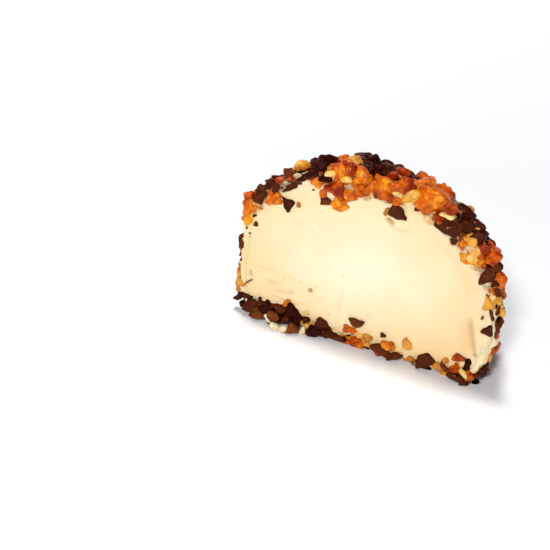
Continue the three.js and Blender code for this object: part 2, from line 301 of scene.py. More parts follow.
def on_surface(share, angle):
    """The point and the normal of the coat's mean surface where a share of its area has been passed on the
    way from the foot to the top, at an angle round the axis."""
    fine, steps, length, area = mean_surface()
    wanted = share * area[-1]
    i = np.clip(np.searchsorted(area, wanted), 1, len(area) - 1)
    t = ((wanted - area[i - 1]) / (area[i] - area[i - 1]))[:, None]
    r, z = (fine[i - 1] + steps[i - 1] * t).T
    out, up = steps[i - 1, 1] / length[i - 1], -steps[i - 1, 0] / length[i - 1]
    return placed(r, z, angle), outward(out, up, angle)


def side_of_edge(angle):
    """Half of the coat's edge in the knife's plane, from the middle of the foot to the top, as rows of across
    and up, on the side at an angle of 0 or half a turn."""
    points = turned(outline(0, *SURFACE_STEPS), np.array([angle]))[:, 0]
    return points[:, [0, 2]]


def bulge(x, z):
    """How far the coat stands out at each place: a soft bell around each bulge."""
    bells = [out * np.exp(-((x - px) ** 2 + (z - pz) ** 2) / reach**2) for px, pz, reach, out in BULGES]
    return sum(bells)


def rim_depth(x, z):
    """Roughly how far a point of the cut face lies inside the coat's outer edge."""
    across = (np.abs(x + lean(z)) / RADIUS) ** FULLNESS
    up = (np.maximum(0, z - WAIST) / (HEIGHT - WAIST)) ** FULLNESS
    return np.minimum(RADIUS * (1 - (across + up) ** (1 / FULLNESS)), z)


# ---- Meshes ------------------------------------------------------------------------------------------------
SAME_DIGITS = 4  # points that agree to so many digits of a millimetre are one


def new_piece(name, points, loops, starts, tone, material, node, slot, flat=False, **attributes):
    """A mesh piece from its points in millimetres about the axis, the corners of its faces one after another,
    the corner that each face starts at, and a tone and other values for each point. It stands for a CAD node
    and rides with the root body."""
    mesh = bpy.data.meshes.new(name)
    mesh.vertices.add(len(points))
    mesh.vertices.foreach_set("co", ((points + SHIFT) * MM).astype(np.float32).ravel())
    mesh.loops.add(len(loops))
    mesh.loops.foreach_set("vertex_index", loops.astype(np.int32))
    mesh.polygons.add(len(starts))
    mesh.polygons.foreach_set("loop_start", starts.astype(np.int32))
    mesh.update(calc_edges=True)
    mesh.polygons.foreach_set("use_smooth", np.full(len(starts), not flat))
    for key, values in {"tone": tone, **attributes}.items():
        mesh.attributes.new(key, "FLOAT", "POINT").data.foreach_set("value", values.astype(np.float32))
    mesh.materials.append(material)
    piece = bpy.data.objects.new(name, mesh)
    bpy.context.scene.collection.objects.link(piece)
    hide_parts(node)
    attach(piece, "root")
    return piece


def grid_corners(rows, columns, first):
    """Corners of the two triangles of each cell of a grid of points, in rows."""
    at = first + np.arange(rows * columns).reshape(rows, columns)
    a, b, c, d = at[:-1, :-1], at[:-1, 1:], at[1:, 1:], at[1:, :-1]
    return np.stack([a, b, c, a, c, d], -1).reshape(-1, 3)


def weld(grids):
    """Joins grids of points where they meet: equal points become one, and triangles that lose a corner go.
    Each grid is its points and whether its faces are turned over."""
    points, triangles, first = [], [], 0
    for grid, over in grids:
        corners = grid_corners(*grid.shape[:2], first)
        triangles.append(corners[:, ::-1] if over else corners)
        points.append(grid.reshape(-1, 3))
        first += len(points[-1])
    points, triangles = np.concatenate(points), np.concatenate(triangles)
    _, kept, same = np.unique(np.round(points, SAME_DIGITS), axis=0, return_index=True, return_inverse=True)
    triangles = same.reshape(-1)[triangles]
    a, b, c = triangles.T
    triangles = triangles[(a != b) & (b != c) & (c != a)]
    return points[kept], triangles.reshape(-1), 3 * np.arange(len(triangles))


# ---- Chopped pieces ----------------------------------------------------------------------------------------
TINY = 1e-6  # a length or a volume under this counts as none
HAIR = 1e-7  # how far outside a plane a corner may lie and still count as on it
ALONG_X = 0.6  # a normal with more x than this is crossed with y to find a direction in its plane


class Pieces:
    """Many pieces as arrays: the index of their draws, middle, turn, half sizes, the knife's level, and
    tone."""

    def __init__(self, index, centre, normal, half, spin, tilt, cut, tone):
        """The turn puts a piece's third axis along the normal, spun about it and tilted."""
        self.index, self.centre, self.half, self.cut, self.tone = index, centre, half, cut, tone
        side = np.stack([-normal[:, 1], normal[:, 0], 0 * spin], -1)
        side[np.linalg.norm(side, axis=1) < TINY] = (1, 0, 0)
        side /= np.linalg.norm(side, axis=1, keepdims=True)
        along = np.cross(normal, side)
        c, s, zero, one = np.cos(spin), np.sin(spin), 0 * spin, 1 + 0 * spin
        about_normal = np.stack([c, -s, zero, s, c, zero, zero, zero, one], -1).reshape(-1, 3, 3)
        c, s = np.cos(tilt), np.sin(tilt)
        about_side = np.stack([one, zero, zero, zero, c, -s, zero, s, c], -1).reshape(-1, 3, 3)
        self.turn = np.stack([side, along, normal], -1) @ about_normal @ about_side

    def __len__(self):
        return len(self.index)

    def only(self, chosen):
        """The chosen pieces alone."""
        some = object.__new__(Pieces)
        for name, values in vars(self).items():
            setattr(some, name, values[chosen])
        return some

    @staticmethod
    def joined(groups):
        """Several groups as one."""
        every = object.__new__(Pieces)
        for name in vars(groups[0]):
            setattr(every, name, np.concatenate([getattr(g, name) for g in groups]))
        return every


def facets(pieces, planes):
    """Each piece's facets in its own unscaled shape: directions spread evenly and shaken, each at its own
    reach, and the six sides of the block that it is cut from."""
    k, index = np.arange(planes), pieces.index[:, None]
    shake = np.stack([draw(index, channel + k) for channel in FACET_CHANNELS], -1) - 0.5
    normal = even_directions(planes) + PLANE_SHAKE * shake
    normal /= np.linalg.norm(normal, axis=-1, keepdims=True)
    reach = between(PLANE_REACH, draw(index, REACH_CHANNEL + k))
    sides = np.broadcast_to(np.concatenate([np.eye(3), -np.eye(3)]), (len(pieces), 6, 3))
    block = np.full((len(pieces), 6), BLOCK / 2)
    return np.concatenate([normal, sides], 1), np.concatenate([reach, block], 1)


def wedge(pieces):
    """The facets of pieces that are wedges: those of WEDGE_SIDES, a little shaken."""
    index = pieces.index[:, None, None]
    sides = np.array(WEDGE_SIDES, float)
    normal = sides / np.linalg.norm(sides, axis=1, keepdims=True)
    reach = np.broadcast_to(WEDGE_REACH, (len(pieces), len(sides)))
    channels = WEDGE_CHANNEL + np.arange(sides.size).reshape(sides.shape)
    normal = normal + WEDGE_SHAKE * (draw(index, channels) - 0.5)
    return normal / np.linalg.norm(normal, axis=-1, keepdims=True), reach


def chopped(pieces, planes):
    """Pieces as solids with flat facets. A corner lies where three planes meet inside all the others, and a
    face joins the corners on one plane in order of their angle round its normal. The knife and the table are
    two more planes of each piece."""
    shape, reach = facets(pieces, planes)
    normal = np.einsum("pij,pkj->pki", pieces.turn, shape / pieces.half[:, None, :])
    length = np.linalg.norm(normal, axis=-1, keepdims=True)
    count = len(pieces)
    walls = np.broadcast_to(np.array([OUTWARDS, DOWN]), (count, 2, 3))
    wall_reach = np.stack([pieces.centre[:, 1] - pieces.cut, pieces.centre[:, 2]], -1)
    normal = np.concatenate([normal / length, walls], 1)
    reach = np.concatenate([reach / length[..., 0], wall_reach], 1)
    every = reach.shape[1]
    i, j, k = np.array([(i, j, k) for i in range(every) for j in range(i) for k in range(j)]).T
    cross = np.cross(normal[:, j], normal[:, k])
    volume = np.einsum("ptc,ptc->pt", normal[:, i], cross)
    volume = np.where(np.abs(volume) < TINY, np.nan, volume)
    corner = reach[:, i, None] * cross
    corner += reach[:, j, None] * np.cross(normal[:, k], normal[:, i])
    corner += reach[:, k, None] * np.cross(normal[:, i], normal[:, j])
    corner /= volume[..., None]
    inside = (np.einsum("ptc,pkc->ptk", corner, normal) <= reach[:, None, :] + HAIR).all(-1)
    owner, which = np.nonzero(inside)
    points = corner[owner, which]
    plane = np.stack([i[which], j[which], k[which]], -1)
    face = (owner[:, None] * every + plane).reshape(-1)
    vertex = np.repeat(np.arange(len(points)), 3)
    n = normal.reshape(-1, 3)[face]
    spot = points[vertex]
    many = np.maximum(np.bincount(face, minlength=count * every), 1)
    middle = np.stack([np.bincount(face, spot[:, c], count * every) for c in range(3)], -1) / many[:, None]
    away = spot - middle[face]
    first = np.cross(n, np.where(np.abs(n[:, :1]) < ALONG_X, [[1.0, 0, 0]], [[0, 1.0, 0]]))
    angle = np.arctan2((away * np.cross(n, first)).sum(-1), (away * first).sum(-1))
    order = np.lexsort((angle, face))
    order = order[many[face[order]] > 2]
    starts = np.flatnonzero(np.diff(face[order], prepend=-1))
    return points + pieces.centre[owner], vertex[order], starts, pieces.tone[owner]


def rounded(pieces, outside, grid, crispness, lump, billow):
    """Pieces as rounded lumps, a grid of directions round and down each: the distance to the surface is the
    soft least of the distances to the facets outside. Soft noise of a size and a height in millimetres moves
    it in and out, as ripples or as billows with creases between them. The knife and the table flatten it. The
    tone falls from the front of each piece to its sides, as painted shade."""
    around, down = grid
    shape, reach = outside
    a = 2 * np.pi * np.arange(around) / around
    b = np.pi * np.arange(1, down) / down
    ring = [np.outer(np.sin(b), np.cos(a)), np.outer(np.sin(b), np.sin(a)), np.outer(np.cos(b), 1 + 0 * a)]
    way = np.concatenate([[[0, 0, 1]], np.stack(ring, -1).reshape(-1, 3), [[0, 0, -1]]])
    facing = np.maximum(np.einsum("vc,pkc->pvk", way, shape) / reach[:, None, :], 0)
    distance = (facing**crispness).sum(-1)[..., None] ** (-1 / crispness)
    local = way * distance * pieces.half[:, None, :]
    size, height = lump
    noise = ripple(local + pieces.index[:, None, None] * LUMPS_APART, size, LUMP_CHANNEL)
    noise = 2 * np.abs(noise) - BILLOW_SUNK if billow else noise
    height = np.minimum(height, LUMP_MOST * pieces.half.mean(1))[:, None]
    local *= (1 + height * noise / np.linalg.norm(local, axis=-1))[..., None]
    points = np.einsum("pij,pvj->pvi", pieces.turn, local) + pieces.centre[:, None, :]
    points[..., 1] = np.maximum(points[..., 1], pieces.cut[:, None])
    points[..., 2] = np.maximum(points[..., 2], 0)
    row = 1 + np.arange((down - 1) * around).reshape(down - 1, around)
    after = np.roll(row, -1, 1)
    quads = np.stack([row[:-1], row[1:], after[1:], after[:-1]], -1).reshape(-1, 4)
    last = 1 + (down - 1) * around
    front = np.stack([0 * row[0], row[0], after[0]], -1)
    back = np.stack([0 * row[0] + last, after[-1], row[-1]], -1)
    caps = np.concatenate([front, back])
    offset = (last + 1) * np.arange(len(pieces))[:, None, None]
    loops = np.concatenate([(quads + offset).reshape(-1), (caps + offset).reshape(-1)])
    four, three = len(pieces) * len(quads), len(pieces) * len(caps)
    starts = np.concatenate([4 * np.arange(four), 4 * four + 3 * np.arange(three)])
    # painted shade: each piece darkens in tone from its front to its sides
    tone = pieces.tone[:, None] - SIDE_PAINTED_SHADE * smooth(-way[:, 2], *SIDE_SHADE_FALL)
    return points.reshape(-1, 3), loops, starts, tone.reshape(-1)


def chunks(kind, pieces, grid):
    """Rounded pieces of one kind."""
    planes, *form = FORMS[kind]
    outside = facets(pieces, planes) if planes else wedge(pieces)
    return rounded(pieces, outside, grid, *form)


def by_size(kind, pieces, *grids):
    """Rounded pieces of one kind, on the first grid where they are large and on the second elsewhere."""
    large = pieces.half.max(1) > LARGE_HALF
    sized = [(pieces.only(chosen), grid) for chosen, grid in zip((large, ~large), grids) if chosen.any()]
    return [chunks(kind, some, grid) for some, grid in sized]


def together(parts):
    """Several sets of points, corners, face starts and tones as one."""
    points, loops, starts, tone = [], [], [], []
    for part in parts:
        loops.append(part[1] + sum(len(p) for p in points))
        starts.append(part[2] + sum(len(c) for c in loops[:-1]))
        points.append(part[0])
        tone.append(part[3])
    return tuple(np.concatenate(every) for every in (points, loops, starts, tone))


# ---- Where the pieces lie ----------------------------------------------------------------------------------
def half_sizes(long, index, channel):
    """A piece's half sizes: its half length, and its width and thickness as drawn shares of it."""
    slender, flat = between(SLENDER, draw(index, channel)), between(FLAT, draw(index, channel + 1))
    return np.stack([long, long * slender, long * flat], -1)


def spread(first, spacing, half, rise):
    """Pieces spread over the foot and the dome one after another along a golden-angle spiral, so that each
    has the same area to itself, a little shaken. Those on the half that is taken away are left out."""
    area = mean_surface()[3]
    count = round(area[-1] / (LATTICE * spacing**2))
    step = np.arange(count)
    i = first + step
    angle = step * GOLDEN_ANGLE + (draw(i, 1) - 0.5) * ANGLE_SHAKE
    share = (step + 0.5 + (draw(i, 2) - 0.5) * SHARE_SHAKE) / count
    point, normal = on_surface(share, angle)
    long = between(half, draw(i, 3) ** SMALL_MANY)
    size = half_sizes(long, i, 4)
    out = between(rise, draw(i, 6)) + bulge(point[:, 0], point[:, 2])
    centre = point + normal * (out - PIECE_SUNK * size[:, 2])[:, None]
    cut = np.where(draw(i, 10) < SLICED_SHARE, 0.0, NEVER_CUT)
    spin, tilt = 2 * np.pi * draw(i, 8), (draw(i, 9) - 0.5) * TILT_SHAKE
    pieces = Pieces(i, centre, normal, size, spin, tilt, cut, draw(i, 11))
    return pieces.only(point[:, 1] >= KNIFE_CLEAR * long)


# The pieces that the knife laid bare: along the cut from the axis, height, how far the front stands proud of
# the knife's plane, half width, half height, spin in degrees, kind (C chocolate, T a wedge of chocolate, N
# caramelised nut, P pale nut), tone.
BARED = [
    (-35.2, 35.0, 0.9, 2.7, 3.3, 10, "N", 0.75),
    (-31.8, 38.7, 0.4, 2.2, 3.2, -38, "C", 0.8),
    (-27.2, 40.2, 0.9, 2.9, 2.8, 0, "N", 0.5),
    (-23.5, 38.1, 0.5, 2.2, 2.3, 172, "T", 0.6),
    (-10.7, 47.0, 1.1, 4.0, 3.5, -25, "N", -0.15),
    (-13.4, 42.7, 0.2, 1.5, 1.6, 15, "C", 0.9),
    (-9.6, 42.7, 0.7, 2.9, 2.5, 10, "N", 0.85),
    (-3.2, 48.9, 0.4, 2.6, 1.8, 5, "N", 0.45),
    (0.6, 48.6, 0.5, 1.5, 1.7, 30, "C", 1.4),
    (6.0, 45.5, 0.5, 2.9, 2.7, 4, "T", 0.7),
    (3.5, 44.0, 0.2, 0.9, 1.6, -35, "P", -0.1),
    (13.5, 49.4, 1.2, 4.3, 3.7, 20, "N", 0.6),
    (20.1, 44.4, 0.7, 3.7, 2.8, -25, "C", 0.75),
    (25.6, 41.8, 0.5, 2.2, 1.8, -25, "P", 0.75),
    (27.2, 38.2, 0.8, 2.6, 2.7, -10, "P", 1.0),
    (31.2, 38.4, 0.5, 2.1, 2.3, 0, "N", 0.25),
    (31.2, 33.6, 0.3, 2.0, 2.6, 10, "C", 0.9),
    (34.6, 33.2, 0.3, 1.8, 2.5, 0, "N", 0.35),
    (33.2, 26.0, 0.9, 1.9, 2.5, 5, "P", 0.6),
    (34.8, 18.4, 1.7, 1.6, 1.7, -25, "C", 0.7),
    (36.3, 5.6, 0.4, 1.2, 2.8, -18, "C", 0.5),
    (29.6, 4.0, 0.9, 2.3, 2.7, 12, "N", -0.1),
    (20.9, 3.3, 1.2, 2.6, 2.5, 20, "C", 0.8),
    (14.8, 6.2, 0.1, 1.6, 2.1, 15, "P", 0.5),
    (8.8, 1.8, 1.5, 3.2, 1.5, -22, "C", 1.1),
    (-0.1, 7.6, 0.6, 2.7, 1.6, 178, "T", 1.1),
    (-1.5, 5.0, 0.8, 3.1, 1.5, 3, "N", 0.3),
    (-7.4, 1.8, 1.2, 2.2, 1.3, 10, "C", 0.7),
    (-10.2, 4.4, 1.0, 2.3, 2.1, 0, "C", 0.7),
    (-12.0, 1.8, 2.6, 2.5, 2.0, 15, "C", 0.35),
    (-19.2, 4.8, 1.9, 2.7, 2.8, -10, "C", 0.25),
    (-17.9, 1.6, 4.2, 1.9, 1.8, 8, "C", 1.6),
    (-21.5, 7.0, 0.5, 2.2, 1.9, 15, "N", 0.6),
    (-24.9, 2.6, 3.0, 2.2, 2.2, 30, "C", 1.0),
    # These two light chips are painted highlights: pale brown pieces put where the glossy chocolate shines.
    (-24.5, 3.7, 3.7, 1.6, 0.9, -38, "C", 2.2),
    (-23.3, 3.7, 3.6, 0.9, 1.1, 10, "C", 2.0),
    (-27.4, 3.8, 1.6, 2.1, 2.4, -15, "C", 0.5),
    (-32.6, 3.0, 1.7, 2.4, 2.5, -20, "C", 0.7),
]


def columns(rows):
    """The columns of a table, each as an array."""
    return (np.array(column) for column in zip(*rows))


def bared_pieces(rows, first):
    """The pieces of a table like BARED, facing the knife, and their kinds. One that hardly stands out is cut
    flat."""
    x, z, proud, wide, high, degrees, kind, tone = columns(rows)
    deep = np.where(kind == "W", SMEAR_DEEP * np.minimum(wide, high), BARED_DEEP * (wide + high))
    sliced = proud < SLICED_UNDER
    back = np.where(sliced, SLICED_BACK * deep, PIECE_SUNK * deep - proud)
    normal = np.tile(OUTWARDS, (len(rows), 1))
    cut = np.where(sliced, -proud, NEVER_CUT)
    half, centre = np.stack([wide, high, deep], -1), np.stack([x, back, z], -1)
    index = first + np.arange(len(rows))
    return Pieces(index, centre, normal, half, np.radians(degrees), 0 * x, cut, tone), kind


# Smaller pieces at the cut that the frame's solids leave out, in the same form. W is a smear of soft cream.
CHIPS = [
    (-35.9, 38.0, 0.4, 1.5, 1.6, 20, "N", 0.15),
    (-34.9, 31.9, 0.7, 1.7, 2.3, 12, "N", 1.3),
    (-36.5, 33.0, 0.5, 0.6, 2.6, 4, "P", -0.1),
    (-33.4, 32.9, 0.1, 0.8, 0.6, 40, "C", 1.1),
    (-33.0, 30.3, 0.1, 0.8, 1.0, 0, "C", 1.3),
    (-36.2, 28.4, 0.2, 0.7, 1.6, 5, "W", 0.5),
    (-35.6, 28.5, 0.1, 0.5, 0.7, 0, "C", 1.4),
    (-34.6, 27.0, 0.0, 0.4, 0.5, 0, "C", 1.6),
    (-37.0, 25.4, 0.2, 0.7, 0.8, -20, "C", 1.3),
    (-36.8, 23.2, 0.2, 0.6, 1.2, 5, "C", 1.5),
    (-37.4, 21.3, 0.2, 0.35, 1.0, 15, "P", -0.2),
    (-37.2, 19.4, 0.2, 0.3, 1.1, -8, "C", 1.5),
    (-36.9, 17.6, 0.2, 0.45, 0.9, -12, "C", 1.4),
    (-37.3, 15.6, 0.2, 0.4, 1.2, 12, "P", -0.1),
    (-37.4, 12.6, 0.2, 0.8, 1.9, 0, "P", 0.3),
    (-37.0, 9.6, 0.2, 1.0, 1.7, -5, "P", 0.5),
    (-37.5, 7.2, 0.2, 0.9, 1.3, 10, "P", 0.2),
    (-35.4, 9.3, 0.0, 0.45, 1.5, -38, "P", 0.1),
    (-34.0, 11.0, 0.0, 0.22, 1.7, -48, "C", 1.4),
    (-34.5, 13.8, 0.0, 0.4, 0.5, 0, "C", 1.6),
    (-26.8, 45.0, 0.5, 1.9, 1.2, 25, "N", -0.2),
    (-23.4, 43.9, 0.3, 2.5, 0.9, 33, "C", 0.9),
    (-20.7, 39.5, 0.1, 0.8, 1.1, 0, "P", 0.0),
    (-30.2, 36.6, 0.0, 0.9, 1.3, 20, "W", 0.5),
    (-16.8, 45.0, 0.0, 0.5, 0.4, 0, "C", 1.4),
    (-17.6, 48.5, 0.3, 2.8, 1.3, 10, "C", 0.5),
    (-13.6, 49.4, 0.4, 2.2, 1.3, 12, "C", 0.4),
    (-9.8, 51.9, 0.5, 3.0, 2.4, 15, "N", 0.45),
    (-20.4, 47.5, 0.4, 1.9, 1.3, 24, "C", 0.3),
    (-15.9, 47.7, 0.6, 2.3, 2.7, 10, "N", 0.65),
    (-14.2, 44.6, 0.4, 1.8, 1.5, 20, "N", 0.35),
    (-7.0, 45.9, 1.0, 2.5, 2.1, -20, "N", 0.95),
    (-12.3, 50.7, 0.8, 1.6, 1.0, 8, "P", 1.1),
    (-7.9, 50.2, 0.9, 2.3, 1.0, 10, "P", 1.2),
    (-4.5, 51.2, 0.7, 2.5, 1.6, 15, "N", 0.6),
    (-4.5, 46.9, 0.3, 1.6, 1.2, 0, "N", 0.6),
    (-1.8, 49.2, 0.5, 1.8, 1.7, 0, "N", 0.75),
    (2.0, 50.9, 0.7, 2.6, 2.0, 10, "N", 0.8),
    (3.3, 48.2, 0.5, 1.8, 1.9, -25, "N", -0.2),
    (5.6, 50.4, 0.6, 1.8, 1.4, 0, "P", 1.2),
    (8.6, 49.5, 0.6, 2.3, 2.3, 30, "P", 0.8),
    (7.4, 52.5, 0.6, 2.6, 1.4, -20, "N", -0.1),
    (10.9, 46.7, 0.2, 0.8, 0.7, 10, "C", 1.2),
    (18.4, 49.2, 0.8, 2.5, 1.7, -22, "N", -0.1),
    (18.6, 46.9, 0.5, 2.2, 0.9, -12, "P", 1.3),
    (23.5, 45.6, 0.3, 2.0, 2.3, -40, "C", 0.5),
    (26.8, 43.0, 0.3, 1.9, 2.2, -38, "C", 0.6),
    (23.3, 42.5, 0.6, 1.0, 1.5, 35, "C", 1.3),
    (28.9, 40.6, 0.5, 1.7, 1.4, -30, "N", -0.15),
    (23.7, 39.7, 0.2, 0.8, 1.4, 30, "N", 0.3),
    (28.2, 36.7, 0.7, 2.0, 1.5, -25, "N", 0.95),
    (32.9, 36.7, 0.5, 1.5, 1.5, 0, "C", 1.0),
    (34.7, 30.0, 0.3, 0.9, 1.7, 20, "C", 1.2),
    (35.3, 27.4, 0.4, 1.2, 1.6, -10, "P", 0.5),
    (34.7, 23.5, 1.0, 0.5, 2.6, 27, "C", 1.2),
    (36.0, 24.7, 0.5, 0.5, 1.4, -12, "C", 0.9),
    (32.8, 22.0, 1.2, 0.4, 0.6, 0, "C", 1.8),
    (35.5, 13.7, 1.0, 1.5, 4.6, -3, "W", 0.5),
    (37.3, 18.6, 0.2, 0.4, 0.7, 0, "C", 1.0),
    (37.2, 9.9, 0.4, 0.6, 1.6, 0, "P", 0.2),
    (34.3, 2.6, 1.3, 2.7, 0.9, 46, "C", 0.9),
    (32.4, 0.6, 2.0, 1.3, 0.8, 0, "C", 0.8),
    (30.2, 1.3, 2.2, 2.6, 1.0, -16, "C", 0.9),
    (31.7, 3.4, 1.9, 2.1, 0.75, -46, "P", 1.3),
    (32.2, 6.0, 0.9, 1.3, 2.4, 5, "C", 0.4),
    (29.6, 7.2, 1.0, 1.8, 1.4, -5, "N", -0.3),
    (26.8, 5.0, 0.6, 1.9, 1.2, 5, "P", 0.1),
    (26.4, 3.3, 1.5, 2.2, 0.6, -38, "C", 1.3),
    (24.6, 2.0, 1.3, 1.4, 0.9, 20, "W", 0.5),
    (16.9, 1.8, 0.6, 1.6, 0.9, 0, "P", 0.0),
    (12.4, 1.4, 1.3, 2.6, 0.9, 28, "C", 1.0),
    (12.5, 3.6, 0.3, 1.6, 1.0, -20, "P", 1.3),
    (10.1, 4.2, 1.7, 2.1, 1.5, -5, "N", 0.6),
    (8.0, 6.6, 0.1, 0.8, 0.9, 10, "C", 0.9),
    (3.8, 4.4, 0.6, 1.8, 1.3, 0, "P", 0.15),
    (1.8, 4.0, 0.5, 1.5, 1.0, -20, "P", 1.0),
    (4.0, 2.2, 0.8, 1.8, 1.0, 0, "P", 0.5),
    (0.4, 2.6, 0.9, 1.9, 1.2, 0, "N", 0.1),
    (-3.7, 1.6, 0.8, 2.4, 0.9, -8, "C", 0.8),
    (-14.8, 6.4, 0.5, 2.0, 1.4, 0, "P", 0.95),
    (-14.9, 4.2, 1.4, 1.6, 1.1, 30, "C", 0.6),
    (-14.9, 1.4, 3.0, 1.0, 1.5, -20, "W", 0.5),
    (-20.8, 8.6, 0.5, 1.3, 0.9, -10, "P", -0.1),
    (-23.0, 5.1, 1.8, 1.9, 1.4, 20, "C", 0.9),
    (-24.9, 6.6, 0.5, 1.8, 0.7, 14, "W", 0.5),
    (-24.6, 5.7, 1.0, 2.4, 0.6, 16, "C", 0.9),
    (-20.4, 1.1, 4.6, 2.8, 0.8, 14, "W", 0.5),
    (-23.0, 1.1, 4.7, 2.6, 0.9, -16, "W", 0.5),
    (-25.4, 2.0, 3.7, 2.6, 0.7, -42, "W", 0.5),
    (-29.4, 1.6, 2.8, 2.2, 1.2, 8, "C", 1.5),
    (-29.8, 5.3, 0.9, 1.3, 1.5, 20, "C", 0.8),
    (-28.8, 6.2, 0.2, 1.9, 0.5, 5, "W", 0.5),
    (-35.3, 5.6, 0.8, 2.6, 1.4, 12, "C", 0.5),
    (-37.3, 4.1, 0.5, 1.0, 1.8, -35, "C", 0.5),
    (-34.6, 6.7, 0.2, 2.0, 0.6, -10, "W", 0.5),
    (-17.9, 49.4, 0.5, 2.4, 1.1, 14, "C", 0.4),
    (-23.4, 46.6, 0.6, 1.8, 1.1, 25, "N", -0.3),
    (-22.9, 45.1, 0.4, 1.7, 1.0, 20, "C", 0.5),
    (-31.6, 35.6, 0.1, 1.1, 0.7, 15, "P", -0.1),
    (-29.5, 43.2, 0.4, 1.9, 1.2, 35, "C", 0.6),
]

# The coat along the cut, clockwise from the lower left: a place on it, how deep the pieces lie in from the
# edge there, how densely, and the kind and tone of most of them.
STRETCHES = [
    (-37.5, 9, 1.2, 0.3, "P", 0.4),
    (-37.5, 15, 1.0, 0.1, "P", 0.3),
    (-37.5, 21, 1.0, 0.1, "C", 1.3),
    (-37.3, 27, 1.0, 0.2, "C", 1.2),
    (-37.0, 32.5, 2.0, 0.6, "N", 0.5),
    (-34.2, 37.5, 2.6, 0.8, "N", 0.15),
    (-31.5, 40.5, 2.6, 0.8, "C", 0.9),
    (-27.0, 41.5, 3.2, 0.8, "N", 0.5),
    (-27.8, 44.3, 2.8, 1.0, "C", 0.7),
    (-23.5, 45.8, 2.4, 0.9, "C", 0.8),
    (-20.4, 48.8, 1.6, 0.6, "C", 0.4),
    (-16.0, 48.9, 2.6, 0.8, "C", 0.4),
    (-12.8, 50.7, 6.0, 0.9, "N", 0.5),
    (-8.7, 50.5, 6.0, 0.9, "N", 0.3),
    (-4.0, 49.5, 5.4, 0.9, "N", 0.7),
    (-2.0, 53.2, 3.0, 1.0, "C", 0.4),
    (2.5, 53.4, 4.0, 1.0, "C", 0.4),
    (3.0, 49.0, 4.6, 0.9, "N", 0.6),
    (7.0, 51.8, 4.4, 1.0, "N", -0.1),
    (10.0, 48.5, 4.4, 0.8, "P", 0.7),
    (14.2, 49.5, 5.5, 1.0, "N", 0.55),
    (19.2, 48.6, 4.0, 1.0, "N", 0.0),
    (22.0, 49.5, 3.0, 0.8, "P", 0.2),
    (22.4, 45.6, 4.4, 0.9, "C", 0.8),
    (26.2, 44.6, 5.0, 1.0, "C", 0.6),
    (26.0, 40.5, 5.5, 0.7, "N", 0.75),
    (30.4, 39.0, 4.5, 0.9, "N", 0.15),
    (33.0, 38.5, 3.5, 0.8, "P", 0.5),
    (33.2, 33.4, 3.5, 0.8, "C", 0.9),
    (35.2, 32.2, 3.0, 0.8, "N", 0.35),
    (35.5, 26, 3.0, 0.7, "P", 0.6),
    (36.6, 21.8, 1.6, 0.5, "C", 1.2),
    (36.8, 14, 0.6, 0.1, "P", 0.2),
    (37.2, 9, 0.8, 0.3, "P", 0.2),
    (36.2, 4.5, 1.6, 0.6, "C", 0.6),
    (32.0, 2, 5.0, 0.8, "N", 0.2),
    (26.5, 2, 5.0, 0.7, "P", 0.1),
    (21, 2, 3.6, 0.7, "C", 0.9),
    (16, 2, 2.6, 0.6, "P", 0.5),
    (10, 2, 3.6, 0.8, "N", 0.4),
    (5, 2, 4.6, 0.7, "P", 0.3),
    (0, 2, 4.6, 0.8, "N", 0.3),
    (-5, 2, 2.6, 0.8, "C", 0.7),
    (-10.5, 2, 4.2, 0.9, "C", 0.6),
    (-15, 3, 4.6, 0.6, "P", 0.9),
    (-19, 2, 4.8, 1.0, "C", 0.6),
    (-25, 2, 4.2, 0.9, "C", 0.8),
    (-31, 2, 3.6, 0.9, "C", 0.9),
    (-35.5, 4, 1.8, 0.6, "C", 0.6),
]
STRETCH_X, STRETCH_Z, STRETCH_DEEP, STRETCH_DENSE, STRETCH_KIND, STRETCH_TONE = columns(STRETCHES)

# Kind and tone of single large spread pieces, by their place along the spiral.
CHOSEN = {
    21: ("N", 0.4), 29: ("N", 0.3), 42: ("P", 0.4), 55: ("C", 0.8), 76: ("N", 0.1), 110: ("C", 0.2),
    131: ("N", 0.2), 161: ("P", 0.3), 165: ("N", 0.3), 186: ("N", 0.0), 195: ("P", 0.4), 199: ("W", 0.5),
    220: ("N", 0.1), 241: ("N", 0.3), 250: ("C", 1.0), 254: ("P", 0.6), 262: ("N", 0.3), 275: ("N", 0.4),
    283: ("P", 0.9), 284: ("C", 0.6), 296: ("P", 0.9), 309: ("N", 0.3), 317: ("C", 0.4), 318: ("N", 0.7),
    330: ("N", 0.15), 339: ("N", 0.3), 343: ("N", 0.1), 351: ("C", 0.4), 352: ("C", 0.5), 359: ("P", 0.2),
    364: ("C", 0.5), 365: ("C", 0.4), 372: ("P", 0.15), 373: ("N", 0.0), 378: ("C", 0.2), 380: ("N", 0.2),
    385: ("C", 0.5), 386: ("C", 0.6), 388: ("N", 0.0), 393: ("N", 0.0), 398: ("N", 0.0), 399: ("C", 0.3),
    401: ("N", 0.4), 406: ("N", 0.3), 407: ("P", 0.8), 412: ("N", 0.4), 414: ("N", 0.6), 419: ("N", 0.45),
    420: ("C", 0.3), 422: ("N", -0.3), 425: ("P", 0.2), 427: ("N", 0.7), 428: ("C", 0.5), 430: ("C", 0.3),
    433: ("N", 0.5), 435: ("N", -0.2), 438: ("C", 0.4), 440: ("N", 0.7), 441: ("N", 0.7), 443: ("N", 0.6),
}
STRETCH_REACH = 16.0  # a piece further from the knife than this is of any kind
FAR_PALE = 0.7  # tone of the pale nuts further from the knife, over what they draw
STRETCH_SLANT = (0.3, 0.2)  # the stretches run back from the cut at a slant: across and up per millimetre
OWN_KIND = 0.88  # share of the pieces in a stretch that are of its own kind
TONE_SHAKE = 0.6
CRUST_STEP = 2.1  # distance between the pieces in the coat's cut, along it and across it
CRUST_ROWS = 4
CRUST_HALF = (0.9, 2.5)
CRUST_SMALL = 1.5  # power of the draw of a half length there
CRUST_SHARE = 0.55  # the longest half length of a piece over the depth of its stretch
